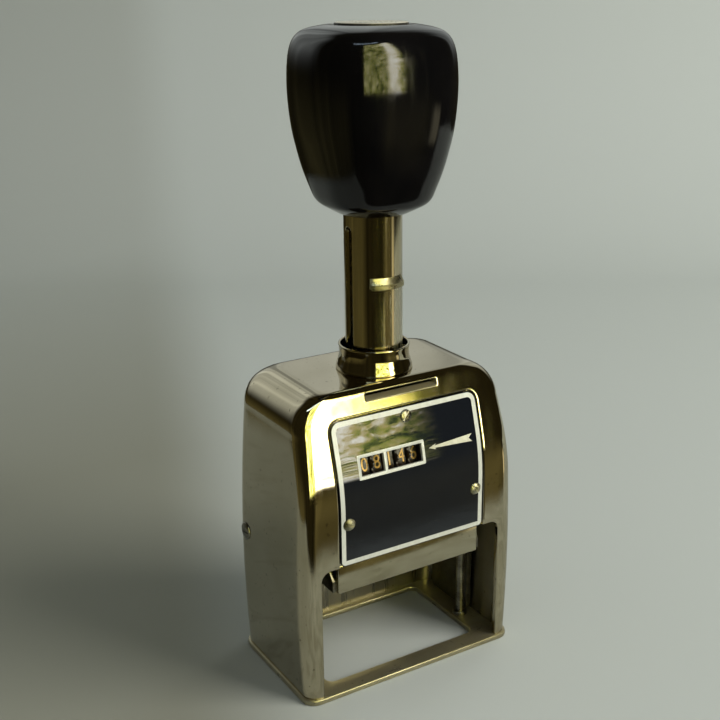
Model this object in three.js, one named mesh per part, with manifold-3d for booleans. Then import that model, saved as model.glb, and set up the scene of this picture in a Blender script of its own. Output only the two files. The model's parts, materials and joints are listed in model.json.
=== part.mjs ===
// Hand numbering machine: a palm knob on a sprung stem drives a type carriage down inside a
// plated housing, while the ink pad under the type swings away to the rear.
// Millimetres, +Z up, front towards -Y. The origin is on the base plane under the stem.
import * as THREE from 'three';
import { mergeVertices } from 'three/addons/utils/BufferGeometryUtils.js';
import Module from 'manifold-3d';

const wasm = await Module();
wasm.setup();

// Driving dimensions: fits and walls
const gap = 0.3;
const overrun = 2;
const shellWall = 1.5;
const frontWall = 1.7;

// Driving dimensions: housing
const housingHalfWidth = 31.5;
const widestHeight = 27;
const barrelShare = 0.0378;
const halfDepth = 18.3;
const shoulderRadius = 9;
const frontCornerRadius = 3.6;
const rearCornerRadius = 5;
const topFrontRadius = 1.5;
const topRearRadius = 4;
const leanDegrees = 15.9;
const bendLength = 13;
const bendAboveWindow = 2;
const crownRoom = 6;

// Driving dimensions: openings in the housing front
const legWidth = 5.2;
const openingAbovePad = 4.5;
const openingCornerRadius = 2.5;
const slotHalfWidth = 10.2;
const slotAbovePlate = 3;
const slotHeight = 1.8;

// Driving dimensions: base ring
const ringThickness = 1.5;
const ringProud = 0.5;
const frontSill = 4.8;
const rearSill = 3.3;
const sideSill = 2.6;
const apertureCornerRadius = 2;

// Driving dimensions: face plate and its windows
const plateThickness = 0.85;
const plateInset = 10.5;
const plateAboveOpening = 0.2;
const plateAboveWindow = 11.7;
const plateCornerRadius = 2.6;
const windowHeight = 4.4;
const windowPost = 0.8;
const windowBackMargin = 3.8;

// Driving dimensions: screws
const screwHeadRadius = 1.6;
const screwHeadHeight = 0.5;
const screwShankRadius = 0.8;
const screwSlotWidth = 0.5;
const screwSlotDepth = 0.3;
const plateScrewInset = 2.4;
const plateScrewAboveFoot = 10.9;
const sideScrewHeadRadius = 2.3;
const sideScrewInset = 1;
const sideScrewBelowShaft = 5.1;

// Driving dimensions: collar, stem and knob
const collarHeight = 6.4;
const collarWall = 0.7;
const collarFlare = 0.6;
const collarNeck = 3.6;
const collarLip = 0.5;
const lugRunningGap = 0.3;
const tubeRadius = 7.1;
const tubeWall = 1.2;
const crossPinRadius = 1.1;
const crossPinAboveTop = 3;
const lugAboveRim = 15;
const lugHeight = 2.8;
const lugProud = 0.9;
const lugSpanDegrees = 77;
const stemSlotWidth = 3;
const knobClearance = 1.2;
const knobHeight = 42.9;
const knobHalfWidth = 17.9;
const knobCrown = 7.9;
const knobCapRadius = 8.5;
const knobCapRecess = 1;
const knobCapProud = 0.5;
const squircleExponent = 3;

// Driving dimensions: type wheels
const wheelCount = 5;
const wheelPitch = 3.5;
const wheelGap = 0.3;
const windowInset = 6.65;
const wheelShift = 1.2;
const digitCount = 10;
const teethPerDigit = 2;
const printRadius = 9.1;
const typeProud = 0.25;
const readingDrumGap = 0.4;
const gearAddendum = 0.35;
const gearDedendum = 0.65;
const gearWidth = 0.6;
const hubStep = 0.2;
const hubRadius = 6;
const shaftRadius = 2;
const shaftLineDegrees = 11.5;
const spacerWall = 0.9;

// Driving dimensions: ink pad and its tray
const padTop = 31.2;
const trayHeight = 3.5;
const trayLip = 4.2;
const traySetback = 1.8;
const trayBehindShaft = 7;
const trayWall = 1;
const armThickness = 1;
const armToRod = 1.9;
const armBossWall = 1.7;
const padSwingDegrees = 118;
const followerRadius = 0.9;
const followerReach = 7.5;
const followerStartDegrees = -60;

// Driving dimensions: carriage, guide rods and cam plates
const cheekRunningGap = 1;
const cheekThickness = 1.6;
const cheekBossWall = 1.7;
const carriageHeadroom = 1.9;
const bridgeThickness = 4;
const bridgeFrontInset = 8.8;
const bridgeRearInset = 10.3;
const bridgeSpigotHeight = 5;
const rodRadius = 1.2;
const rodToCamPlate = 1.3;
const rodBelowTop = 5;
const rodEarWall = 0.7;
const camPlateThickness = 1.4;
const camPlateToWall = 1.1;
const camPlateAboveShaft = 1.4;

// Driving dimensions: return spring
const springWireRadius = 0.6;
const springToBore = 0.6;
const springCurls = 13;
const springSeatThickness = 0.8;
const stemPlugThickness = 4;

// Fineness of the round shapes
const roundSegments = 32;
const smallSegments = 16;
const cornerSteps = 4;
const wireSides = 5;
const stepsPerCurl = 8;

// Heights and depths: the pad sets the travel, and the wheels stand on it up to the knob
const lean = THREE.MathUtils.degToRad(leanDegrees);
const shaftLine = THREE.MathUtils.degToRad(shaftLineDegrees);
const travel = padTop + gap;
const trayBottom = padTop - trayHeight;
const gearPitchRadius = printRadius - typeProud - gearAddendum;
const gearTipRadius = gearPitchRadius + gearAddendum;
const shaftSpacing = 2 * gearPitchRadius;
const readingRadius = shaftSpacing - printRadius - readingDrumGap;
const readingReach = gearTipRadius + gap + plateThickness;
const printShaftZ = travel + printRadius;
const readingShaftZ = printShaftZ + shaftSpacing * Math.cos(shaftLine);
const windowCentre = readingShaftZ + readingReach * Math.sin(lean);
const bendTop = windowCentre + bendAboveWindow;
const bendBottom = bendTop - bendLength;
const bendRadius = bendLength / Math.sin(lean);
const readingShaftY = frontY(windowCentre) + readingReach * Math.cos(lean);
const printShaftY = readingShaftY + shaftSpacing * Math.sin(shaftLine);
const centresAngle = Math.PI / 2 + shaftLine;
const windowAngle = Math.PI - lean;
const openingTop = padTop + openingAbovePad;
const plateBottom = openingTop + plateAboveOpening;
const plateTop = windowCentre + plateAboveWindow;
const slotBottom = plateTop + slotAbovePlate;
const bridgeBottom = readingShaftZ + gearTipRadius + carriageHeadroom;
const bridgeTop = bridgeBottom + bridgeThickness;
const housingTop = bridgeTop + crownRoom;
const crossPinZ = housingTop + crossPinAboveTop;
const rimTop = housingTop + collarHeight;
const lugBottom = rimTop + lugAboveRim;
const knobBottom = rimTop + travel + knobClearance;
const knobTop = knobBottom + knobHeight;
const rodTop = housingTop - rodBelowTop;
const rodY = printShaftY;
const trayFront = -halfDepth + traySetback;
const bridgeFront = -halfDepth + bridgeFrontInset;
const bridgeRear = halfDepth - bridgeRearInset;
const camPlateRear = halfDepth - rearCornerRadius;
const sideScrewY = camPlateRear - sideScrewInset;
const sideScrewZ = printShaftZ - sideScrewBelowShaft;

// Widths, from the housing wall inwards
const camPlateX = housingHalfWidth - shellWall - camPlateToWall - camPlateThickness;
const rodX = camPlateX - rodToCamPlate - rodRadius;
const armOuterX = rodX - rodRadius - armToRod;
const trayHalfWidth = armOuterX - armThickness;
const cheekOuterX = trayHalfWidth - cheekRunningGap;
const cheekInnerX = cheekOuterX - cheekThickness;
const openingHalfWidth = housingHalfWidth - legWidth;
const plateHalfWidth = housingHalfWidth - plateInset;
const plateScrewX = plateHalfWidth - plateScrewInset;
const windowsLeft = windowInset - plateHalfWidth;
const windowsRight = windowsLeft + wheelPitch * wheelCount;
const wheelsLeft = windowsLeft + wheelShift;
const firstWheelX = wheelsLeft + wheelPitch / 2;
const wheelsRight = wheelsLeft + wheelPitch * wheelCount;
const drumWidth = wheelPitch - wheelGap - hubStep - gearWidth;

// Rounds, from the stem and shafts outwards
const tubeBore = tubeRadius - tubeWall;
const collarBore = tubeRadius + lugProud + lugRunningGap;
const collarRimRadius = collarBore + collarWall;
const collarBaseRadius = collarRimRadius + collarFlare;
const knobBoreDepth = knobHeight - knobCrown;
const tubeTop = knobBottom + knobBoreDepth - gap;
const slotFoot = crossPinZ - stemSlotWidth / 2;
const slotHead = crossPinZ + travel + stemSlotWidth / 2;
const springCoilRadius = tubeBore - springToBore - springWireRadius;
const springSeatBottom = crossPinZ + crossPinRadius;
const springBottom = springSeatBottom + springSeatThickness + gap;
const springTop = tubeTop - stemPlugThickness - gap;
const spacerRadius = shaftRadius + gap + spacerWall;
const cheekBossRadius = shaftRadius + gap + cheekBossWall;
const armBossRadius = shaftRadius + gap + armBossWall;
const rodEarRadius = rodRadius + gap + rodEarWall;

// Knob outline: height share and half-width share, from the bottom up
const knobShares = [
  [0, 0.46], [0.023, 0.56], [0.05, 0.66], [0.08, 0.71], [0.14, 0.765], [0.24, 0.845], [0.36, 0.915],
  [0.46, 0.96], [0.58, 0.99], [0.7, 1], [0.82, 0.985], [0.9, 0.945], [0.952, 0.87], [0.984, 0.74], [1, 0.56],
];

// Front surface of the housing: upright below, leaning back above, with a round bend between
function frontY(z) {
  const climb = THREE.MathUtils.clamp(z - bendBottom, 0, bendTop - bendBottom);
  const bend = bendRadius - Math.sqrt(bendRadius ** 2 - climb ** 2);
  return -halfDepth + bend + Math.max(0, z - bendTop) * Math.tan(lean);
}

function frontSlope(z) {
  const climb = THREE.MathUtils.clamp(z - bendBottom, 0, bendTop - bendBottom);
  return Math.asin(climb / bendRadius);
}

function sideX(z) {
  return housingHalfWidth - (z - widestHeight) ** 2 * barrelShare / housingHalfWidth;
}

// Solids
function solidOf(geometry) {
  const bare = geometry.index ? geometry.clone() : geometry;
  bare.deleteAttribute('normal');
  bare.deleteAttribute('uv');
  const merged = mergeVertices(bare, 1e-5);
  const mesh = new wasm.Mesh({
    numProp: 3,
    vertProperties: new Float32Array(merged.attributes.position.array),
    triVerts: new Uint32Array(merged.index.array),
  });
  mesh.merge();
  return new wasm.Manifold(mesh);
}

function geometryOf(solid) {
  const mesh = solid.getMesh();
  const geometry = new THREE.BufferGeometry();
  geometry.setAttribute('position', new THREE.BufferAttribute(new Float32Array(mesh.vertProperties), 3));
  geometry.setIndex(new THREE.BufferAttribute(new Uint32Array(mesh.triVerts), 1));
  geometry.computeVertexNormals();
  return geometry;
}

function cut(body, ...tools) {
  return tools.reduce((result, tool) => result.subtract(tool), body);
}

function join(body, ...others) {
  return others.reduce((result, other) => result.add(other), body);
}

function outline(points) {
  return new THREE.Shape(points.map(([u, v]) => new THREE.Vector2(u, v)));
}

function arcPoints(centreU, centreV, radius, from, to, steps) {
  const points = [];
  for (let i = 0; i <= steps; i += 1) {
    const angle = from + (to - from) * i / steps;
    points.push([centreU + radius * Math.cos(angle), centreV + radius * Math.sin(angle)]);
  }
  return points;
}

// Rounded rectangle with its own radius at each corner, anticlockwise from the low right one
function roundedPoints(left, right, low, high, radii, steps = cornerSteps) {
  const quarter = Math.PI / 2;
  const [lowRight, highRight, highLeft, lowLeft] = radii;
  return [
    ...arcPoints(right - lowRight, low + lowRight, lowRight, -quarter, 0, steps),
    ...arcPoints(right - highRight, high - highRight, highRight, 0, quarter, steps),
    ...arcPoints(left + highLeft, high - highLeft, highLeft, quarter, 2 * quarter, steps),
    ...arcPoints(left + lowLeft, low + lowLeft, lowLeft, 2 * quarter, 3 * quarter, steps),
  ];
}

function prism(points, depth) {
  return new THREE.ExtrudeGeometry(outline(points), { depth, bevelEnabled: false });
}

// Outline in X and Y, drawn out along Z
function alongZ(points, from, to) {
  return solidOf(prism(points, to - from).translate(0, 0, from));
}

// Outline in Y and Z, drawn out along X
function alongX(points, from, to) {
  const turn = new THREE.Matrix4().makeBasis(
    new THREE.Vector3(0, 1, 0),
    new THREE.Vector3(0, 0, 1),
    new THREE.Vector3(1, 0, 0),
  );
  return solidOf(prism(points, to - from).applyMatrix4(turn).translate(from, 0, 0));
}

// Outline in X and Z, drawn out along Y
function alongY(points, from, to) {
  const turn = new THREE.Matrix4().makeBasis(
    new THREE.Vector3(1, 0, 0),
    new THREE.Vector3(0, 0, 1),
    new THREE.Vector3(0, -1, 0),
  );
  return solidOf(prism(points, to - from).applyMatrix4(turn).translate(0, to, 0));
}

function box(left, right, front, rear, low, high) {
  const geometry = new THREE.BoxGeometry(right - left, rear - front, high - low);
  return solidOf(geometry.translate((left + right) / 2, (front + rear) / 2, (low + high) / 2));
}

function roundZ(radius, low, high, segments = roundSegments) {
  const geometry = new THREE.CylinderGeometry(radius, radius, high - low, segments);
  return solidOf(geometry.rotateX(Math.PI / 2).translate(0, 0, (low + high) / 2));
}

function roundX(radius, left, right, segments = roundSegments) {
  const geometry = new THREE.CylinderGeometry(radius, radius, right - left, segments);
  return solidOf(geometry.rotateZ(Math.PI / 2).translate((left + right) / 2, 0, 0));
}

// Skin over rings of equal length that climb along Z
function loft(rings) {
  const count = rings[0].length;
  const positions = rings.flat(2);
  const indices = [];
  for (let level = 0; level < rings.length - 1; level += 1) {
    for (let i = 0; i < count; i += 1) {
      const a = level * count + i;
      const b = level * count + (i + 1) % count;
      indices.push(a, b, b + count, a, b + count, a + count);
    }
  }
  const last = (rings.length - 1) * count;
  for (let i = 1; i < count - 1; i += 1) {
    indices.push(0, i + 1, i, last, last + i, last + i + 1);
  }
  const geometry = new THREE.BufferGeometry();
  geometry.setAttribute('position', new THREE.Float32BufferAttribute(positions, 3));
  geometry.setIndex(indices);
  return solidOf(geometry);
}

// Named pieces
const finishes = {
  nickel: { color: 0x9a9682, roughness: 0.16, metalness: 1 },
  steel: { color: 0x77756c, roughness: 0.35, metalness: 1 },
  brass: { color: 0xa98a4c, roughness: 0.35, metalness: 1 },
  enamel: { color: 0x22232a, roughness: 0.2, metalness: 0 },
  gloss: { color: 0x0b0b0b, roughness: 0.12, metalness: 0 },
  ivory: { color: 0xd8cfb4, roughness: 0.5, metalness: 0 },
  type: { color: 0x2a2622, roughness: 0.6, metalness: 0 },
  felt: { color: 0x1d1b2e, roughness: 0.95, metalness: 0 },
};

function piece(name, solid, finish) {
  const mesh = new THREE.Mesh(geometryOf(solid), new THREE.MeshStandardMaterial(finishes[finish]));
  mesh.name = name;
  return mesh;
}

function placed(mesh, x, y, z) {
  mesh.position.set(x, y, z);
  return mesh;
}

// Housing
function housingRings(wall, front, foot) {
  const heights = [foot, widestHeight / 2, widestHeight, (widestHeight + bendBottom) / 2];
  const bendSteps = 4;
  for (let i = 0; i <= bendSteps; i += 1) {
    heights.push(bendBottom + (bendTop - bendBottom) * i / bendSteps);
  }
  const springLine = housingTop - shoulderRadius;
  const arc = shoulderRadius - wall;
  const levels = heights.map((z) => ({ z, x: sideX(z) - wall }));
  const shoulderSteps = 7;
  for (let i = 0; i <= shoulderSteps; i += 1) {
    const angle = Math.PI / 2 * i / shoulderSteps;
    levels.push({
      z: springLine + arc * Math.sin(angle),
      x: sideX(springLine) - shoulderRadius + arc * Math.cos(angle),
    });
  }
  const crown = springLine + arc;
  const eased = (radius, z) => {
    const climb = Math.max(0, z - crown + radius);
    return radius - Math.sqrt(Math.max(0, radius ** 2 - climb ** 2));
  };
  return levels.map(({ z, x }) => {
    const low = frontY(z) + front / Math.cos(frontSlope(z)) + eased(topFrontRadius, z);
    const high = halfDepth - wall - eased(topRearRadius, z);
    const inFront = frontCornerRadius - wall;
    const inRear = rearCornerRadius - wall;
    const ring = roundedPoints(-x, x, low, high, [inFront, inRear, inRear, inFront]);
    return ring.map(([px, py]) => [px, py, z]);
  });
}

// Sheet that follows the housing front between two depths
function frontSheet(nearDepth, farDepth, halfWidth, low, high) {
  const steps = 12;
  const near = [];
  const far = [];
  for (let i = 0; i <= steps; i += 1) {
    const z = low + (high - low) * i / steps;
    const across = 1 / Math.cos(frontSlope(z));
    near.push([frontY(z) + nearDepth * across, z]);
    far.unshift([frontY(z) + farDepth * across, z]);
  }
  return alongX([...far, ...near].reverse(), -halfWidth, halfWidth);
}

function plateOutline(margin) {
  const halfWidth = plateHalfWidth + margin;
  const top = plateCornerRadius + margin;
  const foot = plateCornerRadius / 2;
  return roundedPoints(-halfWidth, halfWidth, plateBottom - margin, plateTop + margin, [foot, top, top, foot]);
}

function windowCut(left, right, margin) {
  const low = windowCentre - windowHeight / 2 - margin;
  const high = windowCentre + windowHeight / 2 + margin;
  return box(left - margin, right + margin, -halfDepth - overrun, -halfDepth + 3 * frontWall, low, high);
}

const plateScrewPlaces = {
  plate_screw_top: [0, plateTop - plateScrewInset],
  plate_screw_left: [-plateScrewX, plateBottom + plateScrewAboveFoot],
  plate_screw_right: [plateScrewX, plateBottom + plateScrewAboveFoot],
};

// Turns a piece drawn along +Z so that it points out of the housing front at a height
function facingFront(object, x, z, depth) {
  const slope = frontSlope(z);
  object.rotation.set(Math.PI / 2 - slope, 0, 0);
  object.position.set(x, frontY(z) + depth * Math.cos(slope), z - depth * Math.sin(slope));
  return object;
}

function frontHole(x, z, radius) {
  const probe = facingFront(new THREE.Object3D(), x, z, 0);
  probe.updateMatrixWorld();
  const length = 2 * (frontWall + overrun);
  const geometry = new THREE.CylinderGeometry(radius, radius, length, smallSegments);
  return solidOf(geometry.rotateX(Math.PI / 2).applyMatrix4(probe.matrixWorld));
}

const plateScrewHoles = Object.values(plateScrewPlaces).map(
  ([x, z]) => frontHole(x, z, screwShankRadius + gap),
);

function sideScrewHole(side) {
  const hole = roundX(screwShankRadius + gap, -halfDepth, halfDepth, smallSegments);
  return hole.translate([side * housingHalfWidth, sideScrewY, sideScrewZ]);
}

function makeHousing() {
  const outer = loft(housingRings(0, 0, ringThickness));
  const inner = loft(housingRings(shellWall, frontWall, ringThickness - overrun));
  const opening = alongY(
    roundedPoints(
      -openingHalfWidth, openingHalfWidth, ringThickness - overrun, openingTop,
      [gap, openingCornerRadius, openingCornerRadius, gap],
    ),
    -halfDepth - overrun,
    -halfDepth + 2 * frontWall,
  );
  const pocketDepth = plateThickness + gap;
  const pocketFoot = openingTop - overrun;
  const pocketSheet = frontSheet(-overrun, pocketDepth, plateHalfWidth + overrun, pocketFoot, plateTop + overrun);
  const pocketOutline = alongY(plateOutline(gap), -halfDepth - overrun, 0);
  const topSlot = alongY(
    roundedPoints(
      -slotHalfWidth, slotHalfWidth, slotBottom, slotBottom + slotHeight,
      Array(4).fill(slotHeight / 4),
    ),
    -halfDepth - overrun,
    frontY(slotBottom) + 2 * frontWall,
  );
  const back = windowCut(windowsLeft, windowsRight, windowBackMargin);
  return cut(
    outer,
    inner,
    opening,
    pocketSheet.intersect(pocketOutline),
    topSlot,
    back,
    roundZ(collarBore + 2 * gap + collarLip, housingTop - 2 * shellWall, housingTop + overrun),
    sideScrewHole(1),
    sideScrewHole(-1),
    ...plateScrewHoles,
  );
}

// Face plate with the two reading windows
function makeFacePlate() {
  const sheet = frontSheet(0, plateThickness, plateHalfWidth + overrun, plateBottom - overrun, plateTop + overrun);
  const shape = alongY(plateOutline(0), -halfDepth - overrun, 0);
  const split = windowsLeft + 2 * wheelPitch;
  return cut(
    sheet.intersect(shape),
    windowCut(windowsLeft, split - windowPost / 2, 0),
    windowCut(split + windowPost / 2, windowsRight, 0),
    ...plateScrewHoles,
  );
}

// Slotted screw: its head rests on z = 0 and its shank runs down
function makeScrew(headRadius, headHeight, shankLength) {
  const domed = [
    [0, 0], [headRadius, 0], [headRadius, headHeight / 2], [headRadius * 0.7, headHeight], [0, headHeight],
  ];
  const profile = domed.map(([r, z]) => new THREE.Vector2(r, z));
  const head = solidOf(new THREE.LatheGeometry(profile, smallSegments).rotateX(Math.PI / 2));
  const shank = roundZ(screwShankRadius, -shankLength, headHeight / 4, smallSegments);
  const slot = box(
    -headRadius - overrun, headRadius + overrun, -screwSlotWidth / 2, screwSlotWidth / 2,
    headHeight - screwSlotDepth, headHeight + overrun,
  );
  return cut(join(head, shank), slot);
}

function makeBaseRing() {
  const side = sideX(ringThickness) + ringProud;
  const reach = halfDepth + ringProud;
  const inside = rodX - sideSill;
  const plan = roundedPoints(
    -side, side, -reach, reach,
    [frontCornerRadius, rearCornerRadius, rearCornerRadius, frontCornerRadius],
  );
  const aperture = roundedPoints(
    -inside, inside, -halfDepth + frontSill, halfDepth - rearSill,
    Array(4).fill(apertureCornerRadius),
  );
  return cut(alongZ(plan, 0, ringThickness), alongZ(aperture, -overrun, ringThickness + overrun));
}

// Collar: a flared ring whose neck drops through the housing top
function makeCollar() {
  const neckRadius = collarBore + gap + collarLip;
  const foot = housingTop - collarNeck;
  const waist = collarRimRadius + (collarBaseRadius - collarRimRadius) / 4;
  const points = [
    [collarBore, foot],
    [neckRadius, foot],
    [neckRadius, housingTop],
    [collarBaseRadius, housingTop],
    [collarBaseRadius, housingTop + collarHeight / 8],
    [waist + collarLip / 2, housingTop + collarHeight / 3],
    [waist, housingTop + collarHeight * 2 / 3],
    [collarRimRadius + collarLip / 2, rimTop - collarLip],
    [collarRimRadius, rimTop],
    [collarBore, rimTop],
    [collarBore, foot],
  ];
  const profile = points.map(([r, z]) => new THREE.Vector2(r, z));
  const ring = solidOf(new THREE.LatheGeometry(profile, roundSegments).rotateX(Math.PI / 2));
  const reach = collarBaseRadius + overrun;
  const pinHole = roundX(crossPinRadius + gap, -reach, reach, smallSegments);
  return ring.subtract(pinHole.translate([0, 0, crossPinZ]));
}

// Stem tube with a long slot on each side for the cross pin, and a raised lug in front
function makeStemTube() {
  const tube = cut(
    roundZ(tubeRadius, bridgeTop, tubeTop),
    roundZ(tubeBore, bridgeTop - overrun, tubeTop + overrun),
  );
  const half = stemSlotWidth / 2;
  const slot = alongX(
    roundedPoints(-half, half, slotFoot, slotHead, Array(4).fill(half * 0.98)),
    -tubeRadius - overrun,
    tubeRadius + overrun,
  );
  const halfSpan = THREE.MathUtils.degToRad(lugSpanDegrees / 2);
  const front = -Math.PI / 2;
  const middle = tubeRadius - tubeWall / 2;
  const lug = alongZ(
    [
      ...arcPoints(0, 0, tubeRadius + lugProud, front - halfSpan, front + halfSpan, 2 * cornerSteps),
      ...arcPoints(0, 0, middle, front + halfSpan, front - halfSpan, 2 * cornerSteps),
    ],
    lugBottom,
    lugBottom + lugHeight,
  );
  return join(cut(tube, slot), lug);
}

function squircleRing(radius, z) {
  const count = 32;
  const ring = [];
  const power = 2 / squircleExponent;
  for (let i = 0; i < count; i += 1) {
    const angle = 2 * Math.PI * i / count;
    const x = Math.sign(Math.cos(angle)) * Math.abs(Math.cos(angle)) ** power;
    const y = Math.sign(Math.sin(angle)) * Math.abs(Math.sin(angle)) ** power;
    ring.push([radius * x, radius * y, z]);
  }
  return ring;
}

function makeKnob() {
  const rings = knobShares.map(([up, out]) => squircleRing(knobHalfWidth * out, knobBottom + knobHeight * up));
  return cut(
    loft(rings),
    roundZ(tubeRadius + gap, knobBottom - overrun, knobBottom + knobBoreDepth),
    roundZ(knobCapRadius + gap, knobTop - knobCapRecess, knobTop + overrun),
  );
}

// Wheels: a ten-sided drum that carries the figures, and a toothed rim beside it
function polygonPoints(radius, sides, faceAngle) {
  const first = faceAngle + Math.PI / sides;
  return arcPoints(0, 0, radius, first, first + 2 * Math.PI, sides).slice(0, sides);
}

function gearPoints(toothAngle) {
  const teeth = digitCount * teethPerDigit;
  const step = 2 * Math.PI / teeth;
  const tipShare = 0.13;
  const rootShare = 0.27;
  const tip = gearPitchRadius + gearAddendum;
  const root = gearPitchRadius - gearDedendum;
  const points = [];
  for (let i = 0; i < teeth; i += 1) {
    const centre = toothAngle + i * step;
    for (const [radius, share] of [[root, -rootShare], [tip, -tipShare], [tip, tipShare], [root, rootShare]]) {
      const angle = centre + share * step;
      points.push([radius * Math.cos(angle), radius * Math.sin(angle)]);
    }
  }
  return points;
}

function makeWheel(radius, faceAngle, toothAngle) {
  const width = drumWidth + hubStep + gearWidth;
  const left = -width / 2;
  const drumRight = left + drumWidth;
  const gearLeft = drumRight + hubStep;
  return cut(
    join(
      alongX(polygonPoints(radius, digitCount, faceAngle), left, drumRight),
      roundX(hubRadius, left + drumWidth / 2, gearLeft + gearWidth / 2),
      alongX(gearPoints(toothAngle), gearLeft, gearLeft + gearWidth),
    ),
    roundX(shaftRadius + gap, left - overrun, left + width + overrun, smallSegments),
  );
}

function makeSpacer(left, right) {
  return cut(
    roundX(spacerRadius, left, right, smallSegments),
    roundX(shaftRadius + gap, left - overrun, right + overrun, smallSegments),
  );
}

// Carriage: a bridge on the stem with a cheek at each end
function makeBridge() {
  const plan = roundedPoints(-cheekOuterX, cheekOuterX, bridgeFront, bridgeRear, Array(4).fill(rodEarRadius / 2));
  const plate = alongZ(plan, bridgeBottom, bridgeTop);
  const parts = [plate, roundZ(tubeBore - gap, bridgeTop - bridgeThickness / 2, bridgeTop + bridgeSpigotHeight)];
  const bores = [];
  for (const side of [-1, 1]) {
    const place = [side * rodX, rodY, 0];
    parts.push(roundZ(rodEarRadius, bridgeBottom, bridgeTop, smallSegments).translate(place));
    const inner = side * (cheekOuterX - overrun);
    const outer = side * rodX;
    parts.push(box(
      Math.min(inner, outer), Math.max(inner, outer),
      rodY - rodEarRadius, rodY + rodEarRadius, bridgeBottom, bridgeTop,
    ));
    bores.push(roundZ(rodRadius + gap, bridgeBottom - overrun, bridgeTop + overrun, smallSegments).translate(place));
  }
  return cut(join(...parts), ...bores);
}

function makeCheek(side) {
  const rear = printShaftY + cheekBossRadius + gap;
  const shape = [
    ...arcPoints(printShaftY, printShaftZ, cheekBossRadius, Math.PI, 2 * Math.PI, 2 * cornerSteps),
    [rear, readingShaftZ - cheekBossRadius],
    [bridgeRear - cheekThickness, bridgeBottom - cheekBossRadius],
    [bridgeRear - cheekThickness, bridgeBottom],
    [bridgeFront, bridgeBottom],
    [readingShaftY - cheekBossRadius, readingShaftZ + cheekBossRadius],
    [readingShaftY - cheekBossRadius, readingShaftZ - cheekBossRadius],
  ];
  const inner = Math.min(side * cheekInnerX, side * cheekOuterX);
  const hole = (y, z) => {
    const bore = roundX(shaftRadius + gap, inner - overrun, inner + cheekThickness + overrun, smallSegments);
    return bore.translate([0, y, z]);
  };
  return cut(
    alongX(shape, inner, inner + cheekThickness),
    hole(printShaftY, printShaftZ),
    hole(readingShaftY, readingShaftZ),
  );
}

// Pad pieces, drawn about the print shaft on which they swing
function makeTray() {
  const front = trayFront - printShaftY;
  const rear = trayBehindShaft;
  const low = trayBottom - printShaftZ;
  const high = padTop - printShaftZ;
  const lip = box(-trayHalfWidth, trayHalfWidth, front, front + trayWall, low, high + trayLip);
  return cut(
    join(box(-trayHalfWidth, trayHalfWidth, front, rear, low, high), lip),
    box(
      -trayHalfWidth + trayWall, trayHalfWidth - trayWall, front + trayWall, rear - trayWall,
      low + trayWall, high + overrun,
    ),
  );
}

function makePad() {
  const inset = trayWall + gap;
  return box(
    -trayHalfWidth + inset, trayHalfWidth - inset,
    trayFront - printShaftY + inset, trayBehindShaft - inset,
    trayBottom - printShaftZ + trayWall, padTop - printShaftZ,
  );
}

function makeArm(side) {
  const front = trayFront - printShaftY + trayWall;
  const rear = trayBehindShaft - trayWall;
  const low = trayBottom - printShaftZ + gap;
  const high = padTop - printShaftZ - gap;
  const shape = [
    [front, low],
    [rear, low],
    [rear, high],
    ...arcPoints(0, 0, armBossRadius, 0, Math.PI, 2 * cornerSteps),
    [front, high],
  ];
  const inner = Math.min(side * trayHalfWidth, side * armOuterX);
  const start = THREE.MathUtils.degToRad(followerStartDegrees);
  const lobe = roundX(followerRadius + armThickness, inner, inner + armThickness, smallSegments);
  const pinY = followerReach * Math.cos(start);
  const pinZ = followerReach * Math.sin(start);
  const pinBore = roundX(followerRadius + gap, inner - overrun, inner + armThickness + overrun, smallSegments);
  return cut(
    join(alongX(shape, inner, inner + armThickness), lobe.translate([0, pinY, pinZ])),
    roundX(shaftRadius + gap, inner - overrun, inner + armThickness + overrun, smallSegments),
    pinBore.translate([0, pinY, pinZ]),
  );
}

// Pin that stands on the arm and runs in the cam slot
function makeFollower(side) {
  const start = THREE.MathUtils.degToRad(followerStartDegrees);
  const end = camPlateX + camPlateThickness - gap;
  const left = Math.min(side * trayHalfWidth, side * end);
  const right = Math.max(side * trayHalfWidth, side * end);
  const pin = roundX(followerRadius, left, right, smallSegments);
  return pin.translate([0, followerReach * Math.cos(start), followerReach * Math.sin(start)]);
}

// Cam plate: its slot is the path of the follower while the carriage comes down
function followerPlace(share) {
  const angle = THREE.MathUtils.degToRad(followerStartDegrees + padSwingDegrees * share);
  return [
    printShaftY + followerReach * Math.cos(angle),
    printShaftZ - travel * share + followerReach * Math.sin(angle),
  ];
}

function camSlotPoints() {
  const steps = 20;
  const half = followerRadius + gap;
  const rightSide = [];
  const leftSide = [];
  for (let i = 0; i <= steps; i += 1) {
    const [y, z] = followerPlace(i / steps);
    const [aheadY, aheadZ] = followerPlace(i / steps + 1 / steps);
    const [behindY, behindZ] = followerPlace(i / steps - 1 / steps);
    const along = new THREE.Vector2(aheadY - behindY, aheadZ - behindZ).normalize();
    rightSide.push([y - along.y * half, z + along.x * half, along]);
    leftSide.unshift([y + along.y * half, z - along.x * half, along]);
  }
  const capped = (side, direction) => side.map(([y, z, along], i) => {
    const push = (i === 0 ? -1 : 0) + (i === side.length - 1 ? 1 : 0);
    return [y + along.x * half * push * direction, z + along.y * half * push * direction];
  });
  return [...capped(rightSide, 1), ...capped(leftSide, -1)];
}

function makeCamPlate(side) {
  const front = printShaftY + gap;
  const shape = roundedPoints(
    front, camPlateRear, ringThickness, printShaftZ + camPlateAboveShaft, Array(4).fill(camPlateThickness),
  );
  const inner = Math.min(side * camPlateX, side * (camPlateX + camPlateThickness));
  const slot = alongX(camSlotPoints().reverse(), inner - overrun, inner + camPlateThickness + overrun);
  return cut(alongX(shape, inner, inner + camPlateThickness), slot, sideScrewHole(side));
}

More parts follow.
